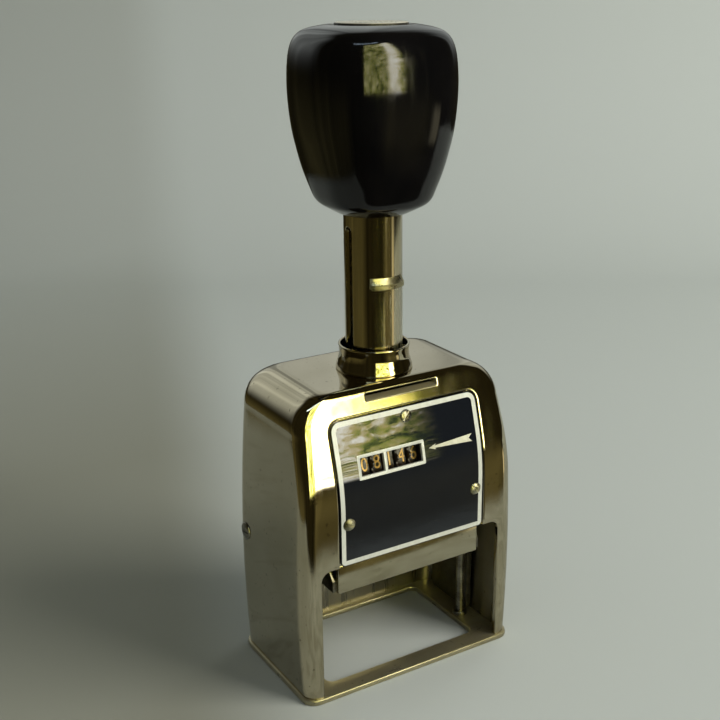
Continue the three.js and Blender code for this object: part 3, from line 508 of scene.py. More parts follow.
# Makes a piece that stands for nodes: a skin or a bmesh becomes a mesh with its materials first
def standFor(nodes, name, body, slot, shape, materials=(), smooth=35):
    if isinstance(shape, Skin):
        shape = weld(shape)
    if isinstance(shape, bmesh.types.BMesh):
        shape = finishMesh(name, shape, materials, smooth)
    obj = objectOf(name, shape)
    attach(obj, body)
    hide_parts(*nodes)
    return obj


# A closed loop: a rounded rectangle, anticlockwise from the low right corner. margin grows it.
def roundedLoop(left, right, low, high, radii, margin, step, cornerStep=6):
    corners = [
        (right, low, -1, 1, -quarter, radii[0]), (right, high, -1, -1, 0, radii[1]),
        (left, high, 1, -1, quarter, radii[2]), (left, low, 1, 1, 2 * quarter, radii[3]),
    ]
    arcs = [arc(x + toX * radius, y + toY * radius, radius + margin, start, quarter, cornerStep)
            for x, y, toX, toY, start, radius in corners]
    loop = []
    for i, ends in enumerate(arcs):
        whole = right - left if i % 2 else high - low
        (x, y), (nextX, nextY) = ends[-1], arcs[(i + 1) % 4][0]
        count = max(1, round((whole - radii[i] - radii[(i + 1) % 4]) / step))
        loop += ends + [(x + (nextX - x) * k / count, y + (nextY - y) * k / count) for k in range(1, count)]
    return loop


def isInside(point, loop):
    x, y = point
    inside = False
    for (ax, ay), (bx, by) in zip(loop, loop[1:] + loop[:1]):
        if (ay > y) != (by > y) and x < (bx - ax) * (y - ay) / (by - ay) + ax:
            inside = not inside
    return inside


# Triangles of a flat region with holes. supports are extra open lines that the triangles keep to.
def fillRegion(outer, holes, supports, grid, clearance=0.45):
    points, edges = [], []
    for loop, closed in [(loop, 1) for loop in (outer, *holes)] + [(line, 0) for line in supports]:
        start = len(points)
        points += loop
        edges += [(start + i, start + (i + 1) % len(loop)) for i in range(len(loop) - 1 + closed)]
    points += [(x, y) for x, y in grid if all((x - a) ** 2 + (y - b) ** 2 > clearance ** 2 for a, b in points)]
    made, _, triangles, *_ = geometry.delaunay_2d_cdt([Vector(p) for p in points], edges, [], 0, 1e-6, False)
    kept = []
    for triangle in triangles:
        middle = sum((made[i] for i in triangle), Vector((0, 0))) / 3
        if isInside(middle, outer) and not any(isInside(middle, hole) for hole in holes):
            kept.append(tuple(triangle))
    return [tuple(p) for p in made], kept


# Rounded edge from the skin at depth 0 to the back at depth wall: pairs of margin and depth
def rimSteps(radius, wall, steps=4, backRadius=0.0):
    back = [(0.0, wall)]
    if backRadius:
        back = arc(backRadius, wall - backRadius, backRadius, 2 * quarter, -quarter, steps)
    return arc(radius, radius, radius, -quarter, -quarter, steps) + back


# Housing: a rounded shell whose front leans back above a bend
shell = dict(
    halfWidth=31.5, widestHeight=27.0, barrel=0.0378, halfDepth=18.3, wall=1.6, foot=1.5,
    shoulder=9.0, frontCorner=3.6, rearCorner=5.0, topFront=1.5, topRear=4.0, collarHole=9.4,
    lean=15.9, bendLength=13.0, windowCentre=59.998, bendAboveWindow=2.0,
    openingHalf=26.3, openingTop=35.7, openingCorner=2.5, openingStep=1.6, edge=0.35, edgeSupport=0.3,
    slotHalf=10.2, slotLow=74.7, slotHeight=1.8, slotLip=1.1, slotCorner=0.4, slotEdge=0.2, slotSupport=0.25,
    pocketGap=0.3, pocketDepth=1.15, backMargin=3.8, backCorner=0.5, columns=30, flatReach=10,
    lowRows=(48.5, 16), rows=[49.5 + i for i in range(13)] + [63.5, 65, 66.5, 68], shoulderRows=34,
    sideColumns={1: 12, 2: 14, 3: 12, 4: 24, 5: 12, 6: 14, 7: 12}, flatRows=(0, 0.08, 0.3, 0.65, 1),
)
shell["top"] = boxOf("housing")[1].z
plate = dict(
    half=21.0, low=35.9, high=71.7, corner=2.6, footCorner=1.3, thickness=0.85, edge=0.22,
    lineIn=0.28, lineWidth=1.15, frameWidth=0.75, frameCorner=0.3,
    windows=[(-14.35, -7.75), (-6.95, 3.15)], windowHalf=2.2, windowCorner=0.15, windowEdge=0.06,
    arrowTip=(5.1, 60.5), arrowTail=18.2, arrowHalf=0.95, arrowNotch=1.0, headLength=2.2, headHalf=0.7,
    headSlope=0.4, neckHalf=0.28, columns=(-20.5, 21.1, 26), rows=(36.5, 71.0, 23),
)
springLine = shell["top"] - shell["shoulder"]
crownLevel = springLine + shell["shoulder"] * quarter
flatLevel = crownLevel + shell["flatReach"]


def frontAt(z):
    bendLength, lean = shell["bendLength"], math.radians(shell["lean"])
    bendTop = shell["windowCentre"] + shell["bendAboveWindow"]
    climb = min(max(z - (bendTop - bendLength), 0), bendLength)
    radius = bendLength / math.sin(lean)
    bend = radius - math.sqrt(radius ** 2 - climb ** 2)
    return -shell["halfDepth"] + bend + max(0, z - bendTop) * math.tan(lean), math.asin(climb / radius)


def sideAt(z):
    return shell["halfWidth"] - (z - shell["widestHeight"]) ** 2 * shell["barrel"] / shell["halfWidth"]


def levelOf(z):
    if z <= springLine:
        return z
    return springLine + shell["shoulder"] * math.asin(min(1, (z - springLine) / shell["shoulder"]))


def sectionAt(level):
    z, x = level, sideAt(min(level, springLine))
    if level > springLine:
        angle = min((level - springLine) / shell["shoulder"], quarter)
        z = springLine + shell["shoulder"] * math.sin(angle)
        x -= shell["shoulder"] * (1 - math.cos(angle))
    climbs = [(radius, max(0, z - shell["top"] + radius)) for radius in valuesOf(shell, "topFront topRear")]
    front, rear = (radius - math.sqrt(max(0, radius ** 2 - climb ** 2)) for radius, climb in climbs)
    return z, x, frontAt(z)[0] + front, shell["halfDepth"] - rear


# Eight spans round the housing: front, corner, right side, corner, rear, corner, left side, corner
def ringPoint(around, section):
    z, x, front, rear = section
    frontR, rearR = valuesOf(shell, "frontCorner rearCorner")
    span = min(int(around), 7)
    part = around - span
    flats = {
        0: ((2 * part - 1) * (x - frontR), front), 2: (x, front + frontR + part * (rear - rearR - front - frontR)),
        4: ((1 - 2 * part) * (x - rearR), rear), 6: (-x, rear - rearR + part * (front + frontR - rear + rearR)),
    }
    if span in flats:
        return Vector((*flats[span], z))
    radius, centreY = (frontR, front + frontR) if span in (1, 7) else (rearR, rear - rearR)
    centreX = (x - radius) * (1 if span in (1, 3) else -1)
    angle = quarter * ((span - 3) / 2 + part)
    return Vector((centreX + radius * math.cos(angle), centreY + radius * math.sin(angle), z))


def shellPoint(around, level):
    around %= 8
    if level <= crownLevel:
        return ringPoint(around, sectionAt(level))
    edge = ringPoint(around, sectionAt(crownLevel))
    angle = math.atan2(edge.y, edge.x)
    hole = Vector((math.cos(angle), math.sin(angle), 0)) * shell["collarHole"] + Vector((0, 0, edge.z))
    return edge.lerp(hole, (level - crownLevel) / (flatLevel - crownLevel))


def shellPlace(around, level, depth):
    point = shellPoint(around, level)
    if not depth:
        return point
    if level >= crownLevel:
        return point - Vector((0, 0, depth))
    small = 0.002
    across = shellPoint(around + small, level) - shellPoint(around - small, level)
    up = shellPoint(around, min(level + small, crownLevel)) - shellPoint(around, max(level - small, 1))
    return point - across.cross(up).normalized() * depth


def reachAt(level):
    return sectionAt(level)[1] - shell["frontCorner"]


def fromLevel(x, level, depth):
    return shellPlace((x / reachAt(level) + 1) / 2, level, depth)


def frontPlace(x, z, depth):
    return fromLevel(x, levelOf(z), depth)


def onFront(points):
    return [(x, levelOf(z)) for x, z in points]


def mirroredBack(points):
    return [(-x, z) for x, z in reversed(points)]


def plateLoop(margin):
    half, low, high, foot, corner = valuesOf(plate, "half low high footCorner corner")
    return roundedLoop(-half, half, low, high, [foot, corner, corner, foot], margin, 1.4)


# A loop round some of the plate's windows, grown by margin
def windowLoop(windows, margin, corner, grow=0.0, step=0.9):
    middle, half = shell["windowCentre"], plate["windowHalf"] + grow
    return roundedLoop(windows[0][0] - grow, windows[-1][1] + grow, middle - half, middle + half, [corner] * 4,
                       margin, step, 3)


# The opening's edge climbs the left leg, crosses the front and comes down the right one. On the outside it
# makes a detour round the plate's pocket, which runs out into the opening. Returns the left part and the middle.
def openingParts(margin, detour=False):
    half, top, radius, step, foot = valuesOf(shell, "openingHalf openingTop openingCorner openingStep foot")
    rise = round((top - radius - foot) / step)
    left = [(-half - margin, foot + (top - radius - foot) * i / rise) for i in range(rise)]
    left += arc(-half + radius, top - radius, radius + margin, 2 * quarter, -quarter, 7)
    pocketSide = plate["half"] + shell["pocketGap"] + (margin if detour else 0)
    left += [(x, top + margin) for x in evenly(-half + radius, -pocketSide, 2)[1:]]
    if not detour:
        return left, [(x, top + margin) for x in evenly(-pocketSide, pocketSide, 26)[1:-1]]
    grow, corner = shell["pocketGap"] + margin, plate["corner"]
    high, inner = plate["high"] - corner, plate["half"] - corner
    climb = [(-pocketSide, z) for z in evenly(top + margin, high, 24)[1:-1]]
    climb += arc(-inner, high, corner + grow, 2 * quarter, -quarter, 6)
    over = [(x, plate["high"] + grow) for x in evenly(-inner, inner, 26)[1:-1]]
    return left, climb + over + mirroredBack(climb)


def openingPath(margin, detour=False):
    left, middle = openingParts(margin, detour)
    return left + middle + mirroredBack(left)


def makeHousing():
    skin = Skin()
    foot, wall, edge, pocket, columns, slotEdge = valuesOf(shell, "foot wall edge pocketDepth columns slotEdge")
    levels = evenly(foot, *shell["lowRows"]) + shell["rows"]
    levels += evenly(springLine, crownLevel, shell["shoulderRows"])
    grid = [(reachAt(level) * (2 * i / columns - 1), level) for level in levels[1:-1] for i in range(1, columns)]
    rightEdge = [(reachAt(level), level) for level in levels]
    topEdge = [(reachAt(crownLevel) * (1 - 2 * i / columns), crownLevel) for i in range(1, columns)]
    edges = rightEdge + topEdge + mirroredBack(rightEdge)

    def boundary(margin, detour=False):
        return onFront(openingPath(margin, detour)) + edges

    # The slot's lower lip is pressed inwards, so its floor climbs with depth
    def slotLoop(margin, depth=0.0):
        half, low, height, lip, corner = valuesOf(shell, "slotHalf slotLow slotHeight slotLip slotCorner")
        foot = low + lip * depth / wall
        return onFront(roundedLoop(-half, half, foot, low + height, [corner] * 4, margin, 1.0, 4))

    # A skin of the front at one depth, and the edges that join one depth to the next
    def fill(depth, finish, outer, holes, supports=()):
        points, faces = fillRegion(outer, holes, supports, grid)
        skin.add([fromLevel(x, level, depth) for x, level in points], faces, finish)

    def rim(loops, closed=True, finish=0):
        skin.strip([[fromLevel(x, level, depth) for x, level in loop] for loop, depth in loops], closed, finish)

    back = onFront(windowLoop(plate["windows"], 0, shell["backCorner"], shell["backMargin"], 1.5))
    left, middle = openingParts(0, True)
    pocketLoop = onFront([left[-1]] + middle + mirroredBack(left[-1:]) + openingParts(0)[1][::-1])
    slotSupport = slotLoop(slotEdge + shell["slotSupport"])
    fill(0, 0, boundary(edge, True), [slotLoop(slotEdge)],
         [onFront(openingParts(edge + shell["edgeSupport"], True)[1]), slotSupport + slotSupport[:1]])
    fill(pocket, 0, pocketLoop, [back])
    fill(wall, 1, boundary(edge), [back, slotLoop(0, wall)])
    behindPocket = [(0.0, pocket)] + rimSteps(edge, wall, 4, edge)[5:]
    for detour, steps in ((True, rimSteps(edge, pocket)), (False, behindPocket)):
        rim([(onFront(openingPath(margin, detour)), depth) for margin, depth in steps], closed=False)
    rim([(slotLoop(margin, depth), depth) for margin, depth in rimSteps(slotEdge, wall, 3)], finish=2)
    rim([(back, pocket), (back, wall)])
    # Sides, rear and corners
    arounds = [span + i / count for span, count in shell["sideColumns"].items() for i in range(count)]
    arounds.append(8.0 - 1e-9)
    for depth in (0, wall):
        skin.strip([[shellPlace(a, level, depth) for a in arounds] for level in levels], closed=False,
                   finish=1 if depth else 0)
    # Flat top down to the collar's hole
    allRound = [i / columns for i in range(columns)] + arounds[:-1]
    flats = [crownLevel + share * (flatLevel - crownLevel) for share in shell["flatRows"]]
    for depth in (0, wall):
        skin.strip([[shellPlace(a, level, depth) for a in allRound] for level in flats])
    skin.strip([[shellPlace(a, flatLevel, depth) for a in allRound] for depth in (0, wall)])
    # Foot edge under the walls
    skin.strip([[shellPlace(a, foot, depth) for a in arounds] for depth in (0, wall)], closed=False)
    for side in (1, -1):
        leg = [(-side * reachAt(foot), foot), (-side * (shell["openingHalf"] + edge), foot)]
        rim([(leg, 0), (leg, wall)], closed=False)
    standFor(["housing"], "nickel_housing", "frame", "nickel_plate", skin, [nickel, innerNickel, baseNickel], 40)


makeHousing()
print("housing made")


# Face plate: black enamel with a cream line, framed windows and a pointer
def makeFacePlate():
    skin = Skin()
    edge, thickness, windows, windowEdge, corner = valuesOf(
        plate, "edge thickness windows windowEdge windowCorner")
    outer, lineOut = plateLoop(-edge), plateLoop(-plate["lineIn"])
    lineIn = plateLoop(-plate["lineIn"] - plate["lineWidth"])
    holes = [windowLoop([window], windowEdge, corner) for window in windows]
    border = windowLoop(windows, 0, plate["frameCorner"], plate["frameWidth"])
    tipX, tipZ = plate["arrowTip"]
    tail, head = plate["arrowTail"], tipX + plate["headLength"]
    lower = [(head, tipZ - plate["headHalf"]), (head - plate["headSlope"], tipZ - plate["neckHalf"]),
             (tail, tipZ - plate["arrowHalf"])]
    arrow = [(tipX, tipZ)] + lower + [(tail - plate["arrowNotch"], tipZ)]
    arrow += [(x, 2 * tipZ - z) for x, z in reversed(lower)]
    grid = [(x, z) for x in evenly(*plate["columns"]) for z in evenly(*plate["rows"])]
    lines = [loop + loop[:1] for loop in (lineOut, lineIn, border, arrow)]
    points, faces = fillRegion(outer, holes, lines, grid, 0.3)
    finishes = []
    for face in faces:
        middle = tuple(sum(points[i][k] for i in face) / 3 for k in (0, 1))
        onLine = isInside(middle, lineOut) and not isInside(middle, lineIn)
        finishes.append(1 if onLine or isInside(middle, border) else 2 if isInside(middle, arrow) else 0)
    for depth, finish in ((0, finishes), (thickness, 0)):
        skin.add([frontPlace(x, z, depth) for x, z in points], faces, finish)
    rims = [(0, [(plateLoop(-margin), depth) for margin, depth in rimSteps(edge, thickness, 3, edge)])]
    rims += [(1, [(windowLoop([window], margin, corner), depth)
                  for margin, depth in rimSteps(windowEdge, thickness, 2, windowEdge)]) for window in windows]
    for finish, loops in rims:
        skin.strip([[frontPlace(x, z, depth) for x, z in loop] for loop, depth in loops], finish=finish)
    standFor(["face_plate"], "enamel_face_plate", "frame", "black_enamel", skin,
             [blackEnamel, paleEnamel, arrowEnamel])


makeFacePlate()
print("face plate made")


# Turned pieces: an outline of radius and height, spun round +Z
def spun(outline, count):
    skin = Skin()
    circle = [(math.cos(2 * math.pi * i / count), math.sin(2 * math.pi * i / count)) for i in range(count)]
    rings = [[(r * c, r * s, z) for c, s in circle] for r, z in outline if r > 1e-6]
    skin.strip(rings)
    for end in (0, -1):
        if outline[end][0] <= 1e-6:
            skin.fan(rings[end], (0, 0, outline[end][1]))
    return skin


# Smooth curve through a few points of an outline
def eased(points, steps=5):
    out = []
    for i in range(len(points) - 1):
        a, b, c, d = [Vector(points[min(max(k, 0), len(points) - 1)]) for k in (i - 1, i, i + 1, i + 2)]
        for t in (s / steps for s in range(steps)):
            curve = 2 * b + (c - a) * t + (2 * a - 5 * b + 4 * c - d) * t ** 2 + (3 * b - a - 3 * c + d) * t ** 3
            out.append(tuple(0.5 * curve))
    return out + [tuple(points[-1])]


# The collar's flare lists radii past the base, the waist or the rim, and heights over the seat
collar = dict(
    bore=8.3, base=9.6, waist=8.72, rim=8.85, lip=0.25, lipProud=0.05, height=6.4, neckRadius=9.1,
    seatEdge=0.15,
    flare=[("base", 0, 0.35), ("base", -0.12, 1.0), ("waist", 0.45, 1.9), ("waist", 0.12, 3.1), ("waist", 0, 4.5),
           ("rim", -0.05, 5.6)],
)


def makeCollar():
    low, high = boxOf("neck_collar")
    top, foot = high.z, low.z
    bore, base, rim, lip, neck, seatEdge = valuesOf(collar, "bore base rim lip neckRadius seatEdge")
    seat = top - collar["height"]
    outline = [(neck, foot), (neck, seat), (base - seatEdge, seat), (base, seat + seatEdge)]
    outline += eased([(collar[key] + out, seat + up) for key, out, up in collar["flare"]], 6)
    outline += arc(rim - lip + collar["lipProud"], top - lip, lip, 0, quarter, 5)
    outline += arc(bore + lip, top - lip, lip, quarter, quarter, 4) + [(bore, foot), (neck, foot)]
    standFor(["neck_collar"], "flared_collar", "frame", "nickel_plate", spun(outline, 96), [nickel], 50)


makeCollar()

# Stem: a drawn tube with a long slot on each side and a raised lug in front. The lug's profile lists radii from
# the tube's skin or the lug's, and heights from its foot, its slope's foot or its top.
stem = dict(
    radius=7.1, wall=1.2, slotHalf=1.5, slotLow=79.51, slotHigh=114.01, slotRound=0.98, edge=0.22, edgeSupport=0.2,
    columns=72, rows=40, lugLow=99.4, lugHigh=102.2, lugSlope=1.5, lugProud=0.88, lugHalfSpan=38.5, lugSteps=18,
    lugSunk=0.3, lugFootEdge=0.15, lugEdge=0.12, lugTop=0.1,
)


def makeStem():
    low, high = boxOf("stem_tube")
    radius, wall, edge, half, columns = valuesOf(stem, "radius wall edge slotHalf columns")
    skin = Skin()
    start, full = radius * quarter, 2 * math.pi * radius
    rows = evenly(low.z, high.z, stem["rows"])
    around = evenly(start, start + full, columns)[1:-1]
    outer = [(x, low.z) for x in around] + [(start + full, z) for z in rows]
    outer += [(x, high.z) for x in reversed(around)] + [(start, z) for z in reversed(rows)]
    grid = [(x, z) for x in around for z in rows[1:-1]]

    def onTube(points, depth):
        return [((radius - depth) * math.cos(a / radius), (radius - depth) * math.sin(a / radius), z)
                for a, z in points]

    def slotLoops(margin):
        return [roundedLoop(middle - half, middle + half, stem["slotLow"], stem["slotHigh"],
                            [half * stem["slotRound"]] * 4, margin, 1.6, 7)
                for middle in (full / 2, full)]

    for depth, margin, supports in ((0, edge, slotLoops(edge + stem["edgeSupport"])), (wall, 0, [])):
        points, faces = fillRegion(outer, slotLoops(margin), supports, grid, 0.3)
        skin.add(onTube(points, depth), faces)
    rims = [(slotLoops(margin), depth) for margin, depth in rimSteps(edge, wall, 3)]
    for side in (0, 1):
        skin.strip([onTube(loops[side], depth) for loops, depth in rims])
    for z in (low.z, high.z):
        skin.strip([onTube([(x, z) for x in [start, *around]], depth) for depth in (0, wall)])
    work = weld(skin)
    # The lug: a curved bar with a sloping upper face, drawn in a little at its ends
    lug = Skin()
    halfSpan, proud = math.radians(stem["lugHalfSpan"]), radius + stem["lugProud"]
    sunk, footEdge, lugEdge = radius - stem["lugSunk"], stem["lugFootEdge"], stem["lugEdge"]
    lowZ, highZ, slope = stem["lugLow"], stem["lugHigh"], stem["lugHigh"] - stem["lugSlope"]
    profile = [(sunk, lowZ), (proud - footEdge, lowZ), (proud, lowZ + footEdge), (proud, slope),
               (proud - lugEdge, slope + lugEdge), (radius + stem["lugTop"], highZ), (sunk, highZ)]
    rings = []
    for i, angle in enumerate(evenly(-quarter - halfSpan, -quarter + halfSpan, stem["lugSteps"])):
        pull = lugEdge if i in (0, stem["lugSteps"]) else 0
        drawn = [(r - pull if r > radius else r, z) for r, z in profile]
        rings.append([(r * math.cos(angle), r * math.sin(angle), z) for r, z in drawn])
    lug.strip(rings)
    before = len(work.faces)
    work.from_mesh(finishMesh("lug", weld(lug)))
    work.faces.ensure_lookup_table()
    for face in work.faces[before:]:
        face.material_index = 1
    standFor(["stem_tube"], "slotted_stem", "plunger", "nickel_plate", work, [stemNickel, lugNickel], 40)


makeStem()
print("collar and stem made")

# Knob: rounded-square rings that swell towards the top, bored for the stem and recessed for the cap. The shares
# are heights and reaches.
knob = dict(
    half=17.9, exponent=3.0, endExponent=2.35, footShare=0.08, headShare=0.03, bore=7.4, boreTop=35.0,
    boreEdge=0.2, recess=8.75, recessDepth=1.0, recessEdge=0.15, sides=128, capEdge=(0.35, 0.3),
    capMiddleShare=0.6, darkEdge=0.2,
    shares=[(0, 0.46), (0.023, 0.56), (0.05, 0.66), (0.08, 0.71), (0.14, 0.765), (0.24, 0.845), (0.36, 0.915),
            (0.46, 0.96), (0.58, 0.99), (0.7, 1), (0.82, 0.985), (0.9, 0.945), (0.952, 0.87), (0.984, 0.74),
            (1, 0.56)],
)


# Evenly spaced by angle, so that the flanks stay smooth
def squircle(radius, z, exponent=2):
    ring = []
    for angle in evenly(0, 4 * quarter, knob["sides"])[:-1]:
        c, s = math.cos(angle), math.sin(angle)
        reach = radius * (abs(c) ** exponent + abs(s) ** exponent) ** (-1 / exponent)
        ring.append((reach * c, reach * s, z))
    return ring


def makeKnob():
    low, high = boxOf("knob")
    bottom, top = low.z, high.z
    recess, recessEdge, bore, boreEdge, endExponent = valuesOf(knob, "recess recessEdge bore boreEdge endExponent")
    skin = Skin()
    rings = []
    for out, up in eased([(out, up) for up, out in knob["shares"]]):
        ends = min(1, up / knob["footShare"], (1 - up) / knob["headShare"])
        exponent = endExponent + (knob["exponent"] - endExponent) * ends
        rings.append(squircle(knob["half"] * out, bottom + (top - bottom) * up, exponent))
    floor, roof = top - knob["recessDepth"], bottom + knob["boreTop"]
    rings += [squircle(recess + recessEdge, top), squircle(recess, top - recessEdge), squircle(recess, floor)]
    inner = [rings[0], squircle(bore + boreEdge, bottom), squircle(bore, bottom + boreEdge), squircle(bore, roof)]
    for loops, end in ((rings, floor), (inner, roof)):
        skin.strip(loops)
        skin.fan(loops[-1], (0, 0, end))
    standFor(["knob"], "palm_knob", "plunger", "black_gloss", skin, [knobPlastic], 50)
    low, high = boxOf("knob_cap")
    radius, (edge, fall) = high.x, knob["capEdge"]
    rounded = [(radius - edge + edge * x, high.z - fall + fall * y) for x, y in arc(0, 0, 1, 0, quarter, 5)]
    crown = [(radius * knob["capMiddleShare"], high.z), (0, high.z)]
    cap = spun([(0, low.z), (radius, low.z)] + rounded + crown, 96)
    # The cap is coloured darker on its rounded edge, where it drops into the knob
    cap.finishes = [int(min(cap.points[i].z for i in face) < high.z - knob["darkEdge"]) for face in cap.faces]
    standFor(["knob_cap"], "knob_disc", "plunger", "ivory_plastic", cap, [capPlastic, capEdgeDark], 50)


makeKnob()
print("knob made")


# Geometry Nodes: a tree with named inputs, and a bake that leaves a plain mesh
def newTree(name, sizes, counts=()):
    tree = bpy.data.node_groups.new(name, "GeometryNodeTree")
    for kind, labels in (("Float", sizes.split(", ")), ("Int", counts), ("Material", ("Material",))):
        for label in labels:
            tree.interface.new_socket(name=label, in_out="INPUT", socket_type="NodeSocket" + kind)
    add = partial(addNode, tree)
    given = add("NodeGroupInput").outputs
    tree.interface.new_socket(name="Geometry", in_out="OUTPUT", socket_type="NodeSocketGeometry")
    return add, list(given)[:-1]


def endTree(add, shape, material):
    real = add("RealizeInstances", (shape,))
    painted = add("SetMaterial", {"Geometry": real, "Material": material})
    return add("NodeGroupOutput", (painted,)).id_data


def bakeTree(name, tree, values):
    holder = objectOf(name, bpy.data.meshes.new(name + "_seed"))
    modifier = holder.modifiers.new(tree.name, "NODES")
    modifier.node_group = tree
    for item in tree.interface.items_tree:
        if item.in_out == "INPUT":
            modifier[item.identifier] = values[item.name]
    mesh = bpy.data.meshes.new_from_object(holder.evaluated_get(bpy.context.evaluated_depsgraph_get()))
    mesh.name = name
    mesh.transform(Matrix.Scale(mm, 4))
    holder.modifiers.remove(modifier)
    bpy.data.objects.remove(holder)
    return mesh


# A shape turned about Z and moved along it by a share of a size
def placed(add, shape, size, share=1.0, turn=0.0):
    lift = add("Math", (size, share), operation="MULTIPLY")
    return add("Transform", {
        "Geometry": shape, "Translation": add("CombineXYZ", {2: lift}),
        "Rotation": add("CombineXYZ", {2: turn})})


# Slotted screw: a domed head with a milled slot, its shank below
def screwTree():
    add, given = newTree("slottedScrew",
                          "Head Radius, Head Height, Slot Width, Slot Depth, Shank Radius, Shank Length")
    radius, height, slotWidth, slotDepth, shankRadius, shankLength, material = given
    ball = add("MeshUVSphere", {"Segments": 48, "Rings": 48, "Radius": radius})
    squash = add("Math", (height, radius), operation="DIVIDE")
    dome = add("Transform", {
        "Geometry": ball, "Scale": add("CombineXYZ", (1.0, 1.0, squash))})
    wide = add("Math", (radius, 3.0), operation="MULTIPLY")
    deep = add("Math", (slotDepth, 2.0), operation="MULTIPLY")
    lower, slot = [add("MeshCube", {"Size": add("CombineXYZ", size)})
                   for size in ((wide, wide, height), (wide, slotWidth, deep))]
    tools = {0: [placed(add, lower, height, -0.5), placed(add, slot, height)]}
    head = add("MeshBoolean", (dome, add("JoinGeometry", tools)),
                   operation="DIFFERENCE", solver="EXACT")
    shank = add("MeshCylinder", {"Vertices": 24, "Radius": shankRadius, "Depth": shankLength})
    both = add("JoinGeometry", {0: [head, placed(add, shank, shankLength, -0.5)]})
    return endTree(add, both, material)


# Places: node, kind, turn in degrees, finish
screws = dict(
    plate={"Head Radius": 1.6, "Head Height": 0.62, "Slot Width": 0.5, "Slot Depth": 0.36, "Shank Radius": 0.8,
           "Shank Length": 1.5},
    side={"Head Radius": 2.3, "Head Height": 0.6, "Slot Width": 0.6, "Slot Depth": 0.4, "Shank Radius": 0.8,
          "Shank Length": 1.0},
    sideProud=0.05,
    places=[("plate_screw_top", "plate", 48, steel), ("plate_screw_left", "plate", 150, screwNickel),
            ("plate_screw_right", "plate", 128, screwNickel), ("side_screw_left", "side", 95, steel),
            ("side_screw_right", "side", 20, steel)],
)


def makeScrews():
    tree = screwTree()
    for node, kind, turn, material in screws["places"]:
        mesh = bakeTree(node + "_dressed", tree, {**screws[kind], "Material": material})
        x, y, z = centreOf(node)
        if kind == "plate":
            y, slope = frontAt(z)
            tilt = Matrix.Rotation(quarter - slope, 4, "X")
        else:
            side = math.copysign(1, x)
            x = side * (sideAt(z) + screws["sideProud"])
            tilt = Matrix.Rotation(side * quarter, 4, "Y")
        seat = Matrix.Translation(Vector((x, y, z)) * mm) @ tilt
        mesh.transform(seat @ Matrix.Rotation(math.radians(turn), 4, "Z"))
        mesh.shade_smooth()
        mesh.set_sharp_from_angle(angle=math.radians(35))
        standFor([node], node + "_dressed", "frame", "steel", mesh)


makeScrews()
print("screws made")

# Coil spring: wire along a spiral whose end turns lie close, at these shares of its turns and its height
spring = {"Coil Radius": 4.7, "Wire Radius": 0.6, "Turns": 13.0, "ends": [(0.11, 0.035), (0.89, 0.965)]}


def springTree():
    add, (coil, wire, height, turns, material) = newTree("coilSpring", "Coil Radius, Wire Radius, Height, Turns")
    line = add("CurveSpiral", {
        "Resolution": 28, "Rotations": turns, "Start Radius": coil, "End Radius": coil, "Height": height})
    pitch = add("FloatCurve", {"Value": add("SplineParameter").outputs["Factor"]})
    for point in spring["ends"]:
        pitch.mapping.curves[0].points.new(*point)
    pitch.mapping.update()
    x, y, _ = add("SeparateXYZ", (add("InputPosition"),)).outputs
    moved = add("CombineXYZ", (x, y, add("Math", (pitch, height), operation="MULTIPLY")))
    shaped = add("SetPosition", {"Geometry": line, "Position": moved})
    circle = add("CurvePrimitiveCircle", {"Resolution": 10, "Radius": wire})
    solid = add("CurveToMesh", {"Curve": shaped, "Profile Curve": circle, "Fill Caps": True})
    return endTree(add, solid, material)


def makeSpring():
    low, high = boxOf("return_spring")
    wire = spring["Wire Radius"]
    mesh = bakeTree("coil_return_spring", springTree(), {
        **spring, "Height": high.z - low.z - 2 * wire, "Material": springSteel})
    mesh.transform(Matrix.Translation(Vector((0, 0, low.z + wire)) * mm))
    mesh.shade_smooth()
    obj = standFor(["return_spring"], "coil_return_spring", "frame", "steel", mesh)
    slide = next(j for j in frame["joints"] if j["name"] == "plunger_slide")
    travel = max(slide["range_m"]) / mm
    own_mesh(obj)


makeSpring()


